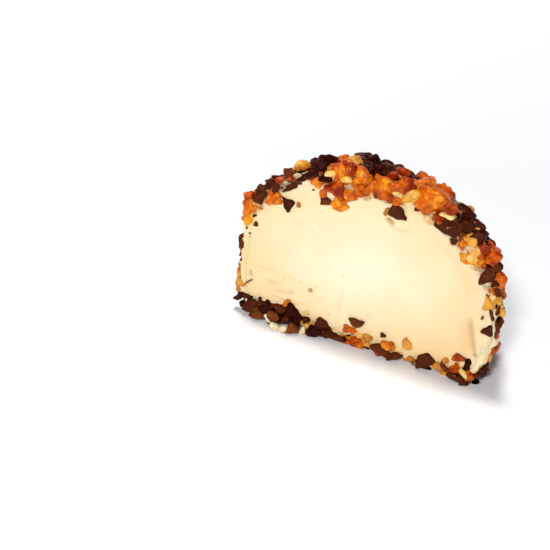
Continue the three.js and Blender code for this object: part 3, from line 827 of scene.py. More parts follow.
CRUST_INSIDE = 0.5  # share of a half length that has to lie inside the stretch
CRUST_CLEAR = 0.4  # share of a half length by which a middle stays above the table
CRUST_PROUD = (0.15, 1.1)
CRUST_CUT = 0.3  # how far a piece that is cut flat stands out, at most
EDGE_HALF = 0.5  # half of the stretch of the edge that gives its direction at a place
BASE_PROUD = 0.8  # how much further out the pieces along the foot stand
BASE_TOP = (-7, -4)  # heights, downwards, over which they come to do so


def stretch_of(x, z):
    """The nearest stretch of the coat's cut to each place."""
    return np.argmin(np.hypot(x[:, None] - STRETCH_X, z[:, None] - STRETCH_Z), 1)


def by_stretch(index, nearest, kind):
    """The kind and tone of pieces near the cut: most are those of their stretch."""
    tone = STRETCH_TONE[nearest] + (draw(index, 14) - 0.5) * TONE_SHAKE
    taken = draw(index, 13) < OWN_KIND
    return np.where(taken, STRETCH_KIND[nearest], kind), np.where(taken, tone, draw(index, 11))


def crust(mix_of):
    """The smaller pieces that fill the coat's cut, and their kinds: rows that follow the edge at growing
    depths, shaken, each kept where its stretch of the coat is that deep and dense. Some are cut flat and some
    stand out."""
    edge = np.concatenate([side_of_edge(np.pi), side_of_edge(0.0)[::-1]])
    gone = passed(edge)
    steps = int(gone[-1] / CRUST_STEP)
    index = FIRST_CRUST + np.arange(steps * CRUST_ROWS)
    row = (index - FIRST_CRUST) // steps
    along = ((index - FIRST_CRUST) % steps + draw(index, 1)) * gone[-1] / steps
    depth = (row + draw(index, 2)) * CRUST_STEP
    x, z = np.interp(along, gone, edge[:, 0]), np.interp(along, gone, edge[:, 1])
    inwards = depth - bulge(x, z)
    before, after = along - EDGE_HALF, along + EDGE_HALF
    ahead = [np.interp(after, gone, side) - np.interp(before, gone, side) for side in edge.T]
    length = np.hypot(*ahead)
    x, z = x + inwards * ahead[1] / length, z - inwards * ahead[0] / length
    nearest = stretch_of(x, z)
    deep, dense = STRETCH_DEEP[nearest], STRETCH_DENSE[nearest]
    long = np.minimum(between(CRUST_HALF, draw(index, 3) ** CRUST_SMALL), CRUST_SHARE * deep)
    kept = (depth + CRUST_INSIDE * long < deep) & (draw(index, 4) < dense) & (z > CRUST_CLEAR * long)
    size = half_sizes(long, index, 5)
    proud = between(CRUST_PROUD, draw(index, 8)) + BASE_PROUD * smooth(-z, *BASE_TOP)
    cut = np.where(draw(index, 10) < SLICED_SHARE, -CRUST_CUT * draw(index, 15), NEVER_CUT)
    centre = np.stack([x, PIECE_SUNK * size[:, 2] - proud, z], -1)
    normal = np.tile(OUTWARDS, (len(index), 1))
    spin, tilt = 2 * np.pi * draw(index, 9), (draw(index, 16) - 0.5) * TILT_SHAKE
    kind, tone = by_stretch(index, nearest, kind_of(index, mix_of))
    pieces = Pieces(index, centre, normal, size, spin, tilt, cut, tone)
    return pieces.only(kept), kind[kept]


def kind_of(index, mix_of):
    """C, N or P for each spread piece: chocolate, nut in caramel or pale nut. More of the small ones are
    chocolate."""
    nut = np.where(draw(index, 12) < mix_of.pale, "P", "N")
    chocolate = np.where(index < FIRST_MEDIUM, mix_of.chocolate, mix_of.fine_chocolate)
    return np.where(draw(index, 7) < chocolate, "C", nut)


def coat_groups(sizes, mix_of):
    """All the coat's pieces but the crumbs, as groups with the kind of each of their pieces."""
    groups = [bared_pieces(BARED, FIRST_BARED), bared_pieces(CHIPS, FIRST_CHIP)]
    large = spread(0, sizes.large_spacing / MM, PIECE_HALF, PIECE_RISE)
    medium = spread(FIRST_MEDIUM, sizes.medium_spacing / MM, MEDIUM_HALF, MEDIUM_RISE)
    for pieces in (large, medium):
        x, y, z = pieces.centre.T
        nearest = stretch_of(x + STRETCH_SLANT[0] * y, z + STRETCH_SLANT[1] * y)
        kind = kind_of(pieces.index, mix_of)
        by_knife, tone = by_stretch(pieces.index, nearest, kind)
        near = y < STRETCH_REACH
        pieces.tone = np.where(near, tone, np.where(kind == "P", FAR_PALE, 1) * pieces.tone)
        kind = np.where(near, by_knife, kind)
        for i, index in enumerate(pieces.index):
            kind[i], pieces.tone[i] = CHOSEN.get(index, (kind[i], pieces.tone[i]))
        groups.append((pieces, kind))
    return [*groups, crust(mix_of)]


def of_kind(sizes, mix_of, kind):
    """The pieces of one kind: the bared ones, and all the others."""
    groups = [pieces.only(own == kind) for pieces, own in coat_groups(sizes, mix_of)]
    return Pieces.joined(groups[:2]), Pieces.joined(groups[2:])


# ---- The cut face and the skin -----------------------------------------------------------------------------
OUTLINE_STEPS = 180
FACE_STEPS = 130
BACK_STEPS = 24
BAND_STEPS = 18
ROUND_STEPS = 200
FACE_MIDDLE = np.array([0.0, 0.0, 0.42 * HEIGHT])  # where the rings of the face close
# The knife's soft waves: rows of height, length across and up over one radian, and phase.
KNIFE_WAVES = [(1.0, 9, 13, 0), (0.6, 17, -7, 1)]
WAVES_SET_IN = (4, 9)  # depth in from the coat's outer edge over which they set in
# Ripples: rows of height, size and the first channel of their draws.
FACE_RIPPLES = [(0.05, 7, 500), (0.025, 2.2, 520)]
SKIN_RIPPLES = [(1.0, 4.2, 540), (0.6, 1.9, 560)]
BAND_RIPPLE = [(1.0, 9, 580)]
BAND_FINE_RIPPLE = [(0.35, 3, 590)]
BAND_RAISED_RIPPLE = [(0.5, 6, 600)]
WHITE_RIPPLE = [(0.8, 8, 700)]
DUST_RIPPLE = [(0.6, 5, 710)]
STAIN_RIPPLE = [(0.5, 3, 720)]

FACE_LIP = 0.4  # how far the filling's rim stands out where the knife dragged it
LIP_DEPTH = 7.0  # how far inside the coat's outer edge the lip runs
LIP_WIDTH = 2.6
LIP_ACROSS = (2, 16)  # where across it sets in
LIP_UP = (18, 30)  # and where up
FOLD = 1.1  # how far the fold of soft cream at the lower right stands out
FOLD_DEPTH = 3.2
FOLD_WIDTH = 2.2
FOLD_ACROSS = (20, 30)
FOLD_UP = (1, 6)
FOLD_ENDS = (-27, -18)  # heights, downwards, from which it is there

BAND_WIDE = (2.9, 1.6)  # width of the band of softened cream, and how much wider it is along the top
BAND_UNEVEN = (0.8, 0.9)  # how far its width wanders, and how much further along the top
BAND_LEAST = 2.7
BAND_TOP = (30, 44)  # heights over which the top begins
BAND_RISE = 1.2  # distance over which the band rises from the edge
BAND_FALLS = (0.55, 1)  # shares of its width between which it falls again
BAND_DIP = 0.35  # how far its inner edge dips under the cream's face
BAND_DIPS = (0.6, 1)
SKIN_CLEAR = 0.3  # height of the skin's underside above the table

WHITE_UP = (32, 44)  # heights over which the cream along the top turns white
WHITE_ACROSS = (-32, -20)  # where across that sets in
WHITE_RIGHT = (22, 31)  # where across the right side turns white
WHITE_DEEP = (3.0, 8.0)  # depth over which the white ends
STAIN_BLEND = 3.0  # distance over which the stains of neighbouring stretches blend
STAIN_EDGE = (-0.3, 1.2)  # how far inside the reach of its stretch a stain comes up to its full strength
STAIN_DENSE = (0.5, 0.9)  # how dense the pieces of a stretch are where its stain sets in, and is full
PALE_STAIN = {"C": 0.0, "N": 0.6, "P": 1.0}  # how pale the stain is beside each kind of piece
PALE_EDGE = 0.4  # how far to either side of the reach the stain turns pale
BLUSH = 0.9  # strength of the pale stain that runs on past the pieces along the foot
BLUSH_REACH = 3.6  # how far it runs on
BLUSH_UP = (6, 11)  # heights over which it ends
SOME = 1e-12  # keeps a sum of shares above 0
# Where the coat's outside is bare of dust beside the cut, to the right and to the left: from how far out, and
# from what height, downwards.
BARE_RIGHT = ((24, 34), (-25, -18))
BARE_LEFT = ((24, 34), (-32, -26))
BARE_REACH = (0.4, 3.5)  # how far from the cut the dust sets in, elsewhere and there
DUST_EDGE = (-0.3, 0.8)  # about that reach, where it begins and where it is full

# Marks in the cut face: where each starts, the point that it bends towards, its end, all along the cut and
# up, half width, and depth. One less than 0 stands out.
MARKS = [
    ((10.0, 47.0), (11.8, 41.0), (4.6, 41.4), 0.9, -0.4),
    ((3.4, 42.6), (7.0, 37.2), (12.0, 41.8), 0.5, 0.17),
    ((29.6, 22.6), (30.8, 14.5), (34.4, 7.6), 0.9, 0.3),
    ((28.2, 21.0), (29.0, 14.0), (32.0, 7.0), 1.7, 0.12),
    ((32.9, 10.4), (33.3, 9.8), (33.5, 9.1), 0.6, 0.4),
    ((3.4, 42.8), (4.4, 41.4), (6.6, 40.8), 0.7, 0.5),
    ((-36.0, 7.6), (-34.6, 11.0), (-32.0, 12.4), 0.4, 0.4),
    ((-33.9, 15.6), (-33.4, 13.8), (-33.4, 12.6), 0.4, 0.4),
    ((-6.2, 22.0), (-4.6, 12.0), (-6.4, 3.0), 0.7, 0.09),
    ((-18.0, 36.2), (-12.0, 33.6), (-7.0, 31.2), 0.8, -0.14),
    ((-24.0, 33.0), (-20.0, 34.6), (-13.0, 35.6), 1.2, 0.08),
    ((12.0, 40.6), (27.0, 38.6), (28.8, 22.0), 1.4, 0.09),
    ((-28.0, 9.4), (-22.0, 7.0), (-15.0, 9.2), 0.8, 0.14),
    ((-33.0, 17.6), (-28.0, 16.2), (-25.0, 18.2), 0.5, 0.14),
    ((-30.0, 13.8), (-26.0, 12.2), (-22.0, 14.6), 0.6, 0.16),
    ((-27.0, 11.4), (-22.0, 10.2), (-18.0, 12.2), 0.6, 0.14),
    ((-15.0, 14.9), (-14.7, 14.0), (-14.4, 13.3), 0.6, 0.75),
]
MARK_STEPS = 12
MARK_FADE = 0.6  # share of a mark's length, both ends together, over which it fades
FAR = 1e9
PITS = 150
PITS_LOW = 0.5  # share of the pits that lie at the lower left
PITS_ACROSS = (-34, 33)
PITS_UP = (4, 42)
PITS_CORNER = (0.42, 0.34)  # how much of the face across and up that lower left is
PIT_RADIUS = (0.18, 0.55)
PIT_DEPTH = (0.05, 0.22)


def beside_curve(x, z, start, bend, end):
    """The least distance from each point to a quadratic curve, taken as straight stretches, and the share of
    the curve that is passed there."""
    t = np.linspace(0, 1, MARK_STEPS + 1)[:, None]
    line = (1 - t) ** 2 * np.array(start) + 2 * t * (1 - t) * np.array(bend) + t**2 * np.array(end)
    least, passed_there = np.full(x.shape, FAR), 0 * x
    for step, ((x0, z0), (dx, dz)) in enumerate(zip(line, np.diff(line, axis=0))):
        t = np.clip(((x - x0) * dx + (z - z0) * dz) / (dx * dx + dz * dz), 0, 1)
        away = np.hypot(x - x0 - t * dx, z - z0 - t * dz)
        passed_there = np.where(away < least, (step + t) / MARK_STEPS, passed_there)
        least = np.minimum(least, away)
    return least, passed_there


def marks(x, z):
    """The grooves and ridges of the cut face, bell-shaped across and fading towards both ends."""
    total = 0 * x
    for *curve, width, deep in MARKS:
        away, along = beside_curve(x, z, *curve)
        total += deep * np.exp(-((away / width) ** 2)) * smooth(1 - np.abs(2 * along - 1), 0, MARK_FADE)
    return total


def pits(x, z):
    """Small round pits, bell-shaped, about half of them at the lower left."""
    k = np.arange(PITS)
    low = draw(k, 530) < PITS_LOW
    pit_x = between(PITS_ACROSS, np.where(low, PITS_CORNER[0] * draw(k, 531), draw(k, 531)))
    pit_z = between(PITS_UP, np.where(low, PITS_CORNER[1] * draw(k, 532), draw(k, 532)))
    size, deep = between(PIT_RADIUS, draw(k, 533) ** 2), between(PIT_DEPTH, draw(k, 534) ** 2)
    total = 0 * x
    for px, pz, r, d in zip(pit_x, pit_z, size, deep):
        total += d * np.exp(-(((x - px) ** 2 + (z - pz) ** 2) / r**2))
    return total


def face_relief(x, z, wave):
    """How deep the cut face lies behind the knife's plane: soft waves inside, a lip along the upper right
    rim, a fold of soft cream along the lower right one, the marks and the pits."""
    depth = rim_depth(x, z)
    waves = sum(high * np.sin(x / across + z / up + phase) for high, across, up, phase in KNIFE_WAVES)
    lip = np.exp(-(((depth - LIP_DEPTH) / LIP_WIDTH) ** 2)) * smooth(x, *LIP_ACROSS) * smooth(z, *LIP_UP)
    fold = np.exp(-(((depth - FOLD_DEPTH) / FOLD_WIDTH) ** 2)) * smooth(x, *FOLD_ACROSS)
    fold = fold * smooth(z, *FOLD_UP) * smooth(-z, *FOLD_ENDS)
    relief = wave * (1 + waves) * smooth(depth, *WAVES_SET_IN) - FACE_LIP * lip - FOLD * fold
    relief += ripples(np.stack([x, 0 * x, z], -1), FACE_RIPPLES)
    return relief + marks(x, z) + pits(x, z)


def whitened(points):
    """How white the softened cream is near the rim: most along the top and the right side."""
    x, _, z = points.T
    side = np.maximum(smooth(z, *WHITE_UP) * smooth(x, *WHITE_ACROSS), smooth(x, *WHITE_RIGHT))
    return side * (1 - smooth(rim_depth(x, z) + ripples(points, WHITE_RIPPLE), *WHITE_DEEP))


def stained(points):
    """How far the cream between the coat's pieces at the cut is stained, and how pale the stain is: as deep
    in as the coat reaches, dark beside chocolate and yellow beside nut, each blended from the stretches
    around. Along the foot a faint pale stain runs on past the pieces."""
    x, _, z = points.T
    apart = (x[:, None] - STRETCH_X) ** 2 + (z[:, None] - STRETCH_Z) ** 2
    share = np.exp(-apart / STAIN_BLEND**2) + SOME
    values = np.stack([STRETCH_DEEP, STRETCH_DENSE, [PALE_STAIN[kind] for kind in STRETCH_KIND]], -1)
    deep, dense, pale = (share @ values / share.sum(1, keepdims=True)).T
    depth = rim_depth(x, z) + ripples(points, STAIN_RIPPLE)
    blush = BLUSH * smooth(deep - depth, -BLUSH_REACH, 0) * (1 - smooth(z, *BLUSH_UP))
    stain = np.maximum(smooth(deep - depth, *STAIN_EDGE), blush) * smooth(dense, *STAIN_DENSE)
    return {"stain": stain, "pale_stain": np.maximum(pale, smooth(depth - deep, -PALE_EDGE, PALE_EDGE))}


def dusted(points):
    """How far the skin's outside is covered with chocolate dust: all of it, but for the rim at the cut and
    two bare places beside it."""
    x, y, z = points.T
    right = smooth(x, *BARE_RIGHT[0]) * smooth(-z, *BARE_RIGHT[1])
    left = smooth(-x, *BARE_LEFT[0]) * smooth(-z, *BARE_LEFT[1])
    reach = between(BARE_REACH, np.maximum(right, left)) + ripples(points, DUST_RIPPLE)
    return smooth(y, reach + DUST_EDGE[0], reach + DUST_EDGE[1])


def edge_loop(grid):
    """The edge of a turned surface at the cut: up its right column and down its left one."""
    return np.concatenate([grid[:, 0], grid[::-1, -1][1:]])


def turned_back(depth):
    """The outline at a depth, turned round the half that is kept, with its edges on the knife's plane."""
    back = turned(even_outline(depth, OUTLINE_STEPS), np.linspace(0, np.pi, BACK_STEPS + 1))
    back[:, [0, -1], 1] = 0
    return back


def cream_surface(wave):
    """The cream: rings that shrink from the edge of the cut to the middle of the face, pushed back by the
    relief, and the turned back, which meets them at the edge."""
    back = turned_back(CREAM_DEPTH)
    edge = edge_loop(back)
    t = np.linspace(0, 1, FACE_STEPS + 1)[:, None]
    face = edge[:, None] + (FACE_MIDDLE - edge[:, None]) * t
    relief = face_relief(face[..., 0], face[..., 2], wave)
    face[:, 1:, 1] = relief[:, 1:]
    return weld([(back, False), (face, True)])


def skin_outside(lumps):
    """The skin's outer side: the turned outline, with lumps and the coat's bulges."""
    profile = even_outline(SKIN_TOP, OUTLINE_STEPS)
    slope = np.gradient(profile, axis=0)
    slope /= np.linalg.norm(slope, axis=1, keepdims=True)
    slope[[0, -1]] = [[1, 0], [-1, 0]]
    angles = np.linspace(0, np.pi, ROUND_STEPS + 1)
    outer = turned(profile, angles)
    normal = outward(slope[:, 1:], -slope[:, :1], angles)
    height = lumps * ripples(outer, SKIN_RIPPLES) + bulge(outer[..., 0], outer[..., 2])
    outer = outer + normal * height[..., None]
    outer[:, [0, -1], 1] = 0
    outer[..., 2] = np.maximum(outer[..., 2], SKIN_CLEAR)
    return outer


def skin_surface(lumps, raised, wave):
    """The skin of softened cream. At the cut its outer side turns in over the cream as a band of uneven
    width, a little raised, and the band's inner edge dips under the cream's face to the skin's inner side."""
    outer, inner = skin_outside(lumps), turned_back(SKIN_TOP + SKIN)
    edge = edge_loop(outer)
    inwards = FACE_MIDDLE - edge
    inwards /= np.linalg.norm(inwards, axis=1, keepdims=True)
    top = smooth(edge[:, 2], *BAND_TOP)
    uneven = (BAND_UNEVEN[0] + BAND_UNEVEN[1] * top) * ripples(edge, BAND_RIPPLE)
    reach = BAND_WIDE[0] + BAND_WIDE[1] * top + uneven + ripples(edge, BAND_FINE_RIPPLE)
    reach = np.maximum(reach, BAND_LEAST)[:, None]
    t = np.linspace(0, 1, BAND_STEPS + 1)[None, 1:]
    band = edge[:, None] + inwards[:, None] * (t * reach)[..., None]
    stand = (raised * (1 + ripples(edge, BAND_RAISED_RIPPLE)))[:, None]
    stand = stand * smooth(t * reach, 0, BAND_RISE) * (1 - smooth(t, *BAND_FALLS))
    relief = face_relief(band[..., 0], band[..., 2], wave) * smooth(t * reach, 0, 1)
    band[..., 1] = relief - (stand - BAND_DIP * smooth(t, *BAND_DIPS))
    band = np.concatenate([edge[:, None], band, edge_loop(inner)[:, None]], 1)
    return weld([(outer, False), (band, True), (inner, True)])


# ---- Materials ---------------------------------------------------------------------------------------------
GREY = (0.3, 0.7)  # the range in which almost all of a noise's values lie
PAINTED_LIGHT_MIDDLE = (-2.0, 0, 25.0)  # the middle of a painted pool of light on the cut, its palest place, about the axis, in millimetres
PAINTED_LIGHT_REACH = (38.0, 28.0)  # how far from it, across and up, the painted light has fallen off and the cream is at its darkest and warmest
# The layer about the knife's plane where chocolate is cut: where it starts, is whole, fades and ends.
CUT_LAYER = (-0.5, -0.37, 0.1, 0.3)
# A colour mix's sockets by number, because their names repeat: share, both colours, and what comes out.
MIX_SHARE, MIX_FIRST, MIX_SECOND, MIX_RESULT = 0, 6, 7, 2
FAR_GLOW = 0.75  # how brightly the floor glows far from the truffle
GLOW_SETS_IN = (0.12, 0.75)  # metres from the middle between which it comes up


def srgb(red, green, blue):
    """A colour as light, from its values on screen from 0 to 255, by the screen's own curve."""
    share = np.array([red, green, blue]) / 255
    return tuple(np.where(share <= 0.04045, share / 12.92, ((share + 0.055) / 1.055) ** 2.4).tolist())


def put(tree, kind, inputs=None, **settings):
    """A node with its settings, whose inputs take a value or another node's output."""
    made = tree.nodes.new(kind)
    for name, value in settings.items():
        setattr(made, name, value)
    for socket, value in (inputs or {}).items():
        take(tree, made.inputs[socket], value)
    return made


def take(tree, socket, value):
    """Gives a socket a value, or links another node's output to it."""
    if isinstance(value, NodeSocket):
        tree.links.new(value, socket)
    else:
        socket.default_value = value


def rgba(colour):
    """A colour with full cover."""
    return (*colour, 1.0)


def own_place(tree):
    """The place on the object, in its own coordinates."""
    return put(tree, "ShaderNodeTexCoord").outputs["Object"]


def value_of(tree, name):
    """A value that the mesh holds for each point."""
    return put(tree, "ShaderNodeAttribute", attribute_name=name).outputs["Fac"]


def grain(tree, size, detail=3.0, rough=0.5):
    """Noise on the object's own coordinates whose blotches measure about size millimetres."""
    inputs = {"Vector": own_place(tree), "Scale": 1 / (size * MM), "Detail": detail, "Roughness": rough}
    return put(tree, "ShaderNodeTexNoise", inputs).outputs["Fac"]


def remap(tree, value, low, high, to_low=0.0, to_high=1.0):
    """A value's range stretched in a straight line to another, and held at its ends."""
    inputs = {"Value": value, "From Min": low, "From Max": high, "To Min": to_low, "To Max": to_high}
    return put(tree, "ShaderNodeMapRange", inputs).outputs["Result"]


def blotches(tree, size, low, high, detail=3.0, rough=0.5, within=GREY):
    """A value that wanders from low to high in blotches of about size millimetres."""
    return remap(tree, grain(tree, size, detail, rough), *within, low, high)


def mix(tree, share, first, second):
    """A blend of two colours, each a colour or a node's output."""
    first, second = (c if isinstance(c, NodeSocket) else rgba(c) for c in (first, second))
    inputs = {MIX_SHARE: share, MIX_FIRST: first, MIX_SECOND: second}
    return put(tree, "ShaderNodeMix", inputs, data_type="RGBA").outputs[MIX_RESULT]


def times(tree, first, second):
    """The product of two values, each a number or a node's output."""
    return put(tree, "ShaderNodeMath", {0: first, 1: second}, operation="MULTIPLY").outputs[0]


def plus(tree, first, second):
    """The sum of two values, each a number or a node's output."""
    return put(tree, "ShaderNodeMath", {0: first, 1: second}, operation="ADD").outputs[0]


def vector(tree, operation, *values):
    """What a vector node makes of one or two vectors: a value for a length or a dot product, else a
    vector."""
    node = put(tree, "ShaderNodeVectorMath", dict(enumerate(values)), operation=operation)
    return node.outputs["Value" if operation in ("LENGTH", "DOT_PRODUCT") else "Vector"]


def bumped(tree, height, distance):
    """A normal tilted by a height whose range stands for a distance in millimetres."""
    inputs = {"Height": height, "Distance": distance * MM}
    return put(tree, "ShaderNodeBump", inputs).outputs["Normal"]


def surface(name, make, **sockets):
    """A material: make builds the nodes and returns the linked sockets, and the others are the same all
    over."""
    material = bpy.data.materials.new(name)
    material.use_nodes = True
    tree = material.node_tree
    shader = tree.nodes["Principled BSDF"]
    for socket, value in {**sockets, **make(tree)}.items():
        take(tree, shader.inputs[socket.replace("_", " ")], value)
    return material


def cream_colour(tree, colours):
    """Cream: brightest in the middle and darker and warmer towards the edges, partly a painted pool of light
    and partly the cream's own warmer tint, whiter in the band at the rim, with painted shade in the grooves
    and pits, and stained between the coat's pieces."""
    # painted pool of light: the cream is palest about one place and darker and warmer away from it, partly
    # painted shade and partly its own warmer tint
    middle = tuple((Vector(PAINTED_LIGHT_MIDDLE) + Vector(SHIFT)) * MM)
    closeness = (1 / (PAINTED_LIGHT_REACH[0] * MM), 0, 1 / (PAINTED_LIGHT_REACH[1] * MM))
    away = vector(tree, "MULTIPLY", vector(tree, "SUBTRACT", own_place(tree), middle), closeness)
    away = plus(tree, vector(tree, "LENGTH", away), blotches(tree, 16, -0.14, 0.14, detail=2))
    painted_light_falloff = mix(tree, remap(tree, away, 0.15, 1.0), colours.cream, colours.cream_shaded_edge)
    band = mix(tree, value_of(tree, "band"), painted_light_falloff, colours.cream_band)
    # painted shade in the grooves and pits of the cut face
    plain = mix(tree, remap(tree, value_of(tree, "hollow"), 0.03, 0.55), band, colours.cream_groove_shade)
    shade = plus(tree, value_of(tree, "pale_stain"), blotches(tree, 1.5, -0.35, 0.35))
    dark = mix(tree, remap(tree, shade, 0, 0.4), colours.dust, colours.smear)
    stain = mix(tree, remap(tree, shade, 0.4, 0.9), dark, colours.stain)
    patches = blotches(tree, 1.3, 0.35, 1.0, detail=4, rough=0.6, within=(0.35, 0.6))
    return mix(tree, times(tree, value_of(tree, "stain"), patches), plain, stain)


def cream_material(colours):
    """Cream: soft, with a fine and a broad unevenness."""

    def make(tree):
        height = plus(tree, grain(tree, 0.9, detail=4, rough=0.6), times(tree, grain(tree, 5, detail=2), 0.8))
        return {
            "Base Color": cream_colour(tree, colours),
            "Roughness": blotches(tree, 3, 0.42, 0.6),
            "Normal": bumped(tree, height, 0.06),
        }

    return surface(
        "cream", make, Subsurface_Weight=0.35, Subsurface_Scale=0.004, Subsurface_Radius=(1.0, 0.6, 0.3)
    )


def skin_material(colours):
    """The skin: cream at the cut, and outside smeared with chocolate dust and caramel."""

    def make(tree):
        smeared = blotches(tree, 1.6, 0, 1, detail=4, rough=0.7, within=(0.42, 0.6))
        dust = mix(tree, smeared, colours.dust, colours.smear)
        dust = mix(tree, blotches(tree, 4, 0, 0.7, within=(0.45, 0.7)), dust, colours.caramel)
        uneven = blotches(tree, 1.1, -0.3, 0.3, detail=4, rough=0.7, within=(0.3, 0.6))
        covered = remap(tree, plus(tree, value_of(tree, "dusted"), uneven), 0.4, 0.65)
        return {
            "Base Color": mix(tree, covered, cream_colour(tree, colours), dust),
            "Roughness": blotches(tree, 2, 0.3, 0.55),
            "Normal": bumped(tree, grain(tree, 0.8, detail=4, rough=0.65), 0.12),
        }

    return surface(
        "softened_cream", make, Subsurface_Weight=0.25, Subsurface_Scale=0.003, Specular_IOR_Level=0.15
    )


def chocolate_material(colours):
    """Chopped dark chocolate: glossy, a little scuffed, and dull brown where the knife went through."""

    def make(tree):
        normal = put(tree, "ShaderNodeNewGeometry").outputs["Normal"]
        facing_out = vector(tree, "DOT_PRODUCT", normal, OUTWARDS)
        across = put(tree, "ShaderNodeSeparateXYZ", {0: own_place(tree)}).outputs["Y"]
        start, full, fade, end = ((SHIFT[1] + y) * MM for y in CUT_LAYER)
        layer = times(tree, remap(tree, across, start, full), remap(tree, across, end, fade))
        cut = times(tree, remap(tree, facing_out, 0.9, 0.98), layer)
        # the tone holds each piece's own lightness and the painted shade at its sides
        light = remap(tree, value_of(tree, "tone"), 0.4, 1.6)
        whole = mix(tree, light, colours.chocolate, colours.chocolate_light)
        inside = blotches(tree, 2.6, 0, 1, rough=0.6, within=(0.48, 0.75))
        inside = mix(tree, inside, colours.chocolate_cut, colours.chocolate_light)
        base = mix(tree, times(tree, cut, 0.6), whole, inside)
        scuffs = blotches(tree, 1.3, 0, 0.7, detail=4, rough=0.7, within=(0.54, 0.76))
        return {
            "Base Color": mix(tree, scuffs, base, colours.chocolate_light),
            "Roughness": blotches(tree, 1.3, 0.25, 0.5, detail=4, rough=0.6),
            "Normal": bumped(tree, grain(tree, 1.6, detail=4, rough=0.55), 0.3),
        }

    return surface("dark_chocolate", make, Specular_IOR_Level=0.02, Coat_Weight=0.06, Coat_Roughness=0.08)


def caramel_material(colours):
    """Nut in clear caramel: light amber to deep orange red, by piece and by blotch, and deeper at each
    piece's sides by painted shade, under a clear glaze.
    """

    def make(tree):
        uneven = blotches(tree, 2.4, -0.65, 0.65, detail=4, rough=0.6, within=(0.32, 0.68))
        shade = plus(tree, value_of(tree, "tone"), uneven)
        deep = mix(tree, remap(tree, shade, -0.35, 0.35), colours.caramel_deep, colours.caramel)
        return {
            "Base Color": mix(tree, remap(tree, shade, 0.55, 1.2), deep, colours.caramel_light),
            "Roughness": blotches(tree, 1.1, 0.2, 0.45),
            "Normal": bumped(tree, grain(tree, 1.2, detail=4, rough=0.6), 0.24),
        }

    return surface(
        "caramelised_nut", make, Subsurface_Weight=0.3, Subsurface_Scale=0.002,
        Subsurface_Radius=(1.0, 0.35, 0.08), Specular_IOR_Level=0.08, Coat_Weight=0.22, Coat_Roughness=0.1,
    )


def nut_material(colours):
    """Pale toasted nut, browner or paler by piece and by blotch, and browner at each piece's sides by painted
    shade.
    """

    def make(tree):
        uneven = blotches(tree, 2.2, -0.45, 0.45, detail=4, rough=0.6)
        shade = plus(tree, value_of(tree, "tone"), uneven)
        ground = mix(tree, remap(tree, shade, -0.2, 0.75), colours.nut_brown, colours.nut)
        return {
            "Base Color": mix(tree, remap(tree, shade, 0.8, 1.4), ground, colours.nut_light),
            "Roughness": blotches(tree, 1.1, 0.3, 0.55),
            "Normal": bumped(tree, grain(tree, 0.9, detail=4, rough=0.6), 0.12),
        }

    return surface(
        "pale_nut", make, Subsurface_Weight=0.3, Subsurface_Scale=0.002, Specular_IOR_Level=0.3,
        Coat_Weight=0.2, Coat_Roughness=0.15,
    )


def floor_material(colours):
    """White paper, lit from below further out, so that it stays white to the horizon."""

    def make(tree):
        away = vector(tree, "LENGTH", own_place(tree))
        return {"Emission Strength": remap(tree, away, *GLOW_SETS_IN, 0, FAR_GLOW)}

    colour = rgba(colours.floor)
    return surface("floor", make, Base_Color=colour, Emission_Color=colour, Roughness=0.9)


# ---- What a user can change --------------------------------------------------------------------------------
def length_property(name, description, millimetres):
    """A length, given in millimetres and kept in metres."""
    value = millimetres * MM
    return FloatProperty(name=name, description=description, default=value, unit="LENGTH", precision=5)


def share_property(name, description, share):
    """A share from 0 to 1."""
    return FloatProperty(name=name, description=description, default=share, min=0, max=1, subtype="FACTOR")


def colour_property(name, description, *levels):
    """A colour, given as levels of red, green and blue from 0 to 255."""
    return FloatVectorProperty(name=name, description=description, default=srgb(*levels), subtype="COLOR")


class TruffleSizes(PropertyGroup):
    """Lengths of the visible pieces"""

    knife_wave: length_property("Knife Wave", "Height of the soft waves that the knife left", 0.25)
    skin_lumps: length_property("Skin Lumps", "Height of the lumps on the skin between the pieces", 0.35)
    band_raised: length_property("Band", "How far the softened rim stands out from the cut face", 0.06)
    large_spacing: length_property("Large Spacing", "Mean distance between the large pieces", 6.6)
    medium_spacing: length_property("Medium Spacing", "Mean distance between the medium pieces", 3.7)
    crumb_spacing: length_property("Crumb Spacing", "Mean distance between the crumbs", 2.1)
    worn_edge: length_property("Worn Edge", "Width of the worn edges of the chocolate", 0.3)


class TruffleMix(PropertyGroup):
    """Shares of the kinds of pieces in the coat"""

    chocolate: share_property("Chocolate", "Share of the pieces that are chocolate", 0.5)
    fine_chocolate: share_property("Fine Chocolate", "Share of the smaller pieces that are chocolate", 0.64)
    pale: share_property("Pale Nut", "Share of the nut pieces that are bare of caramel", 0.3)


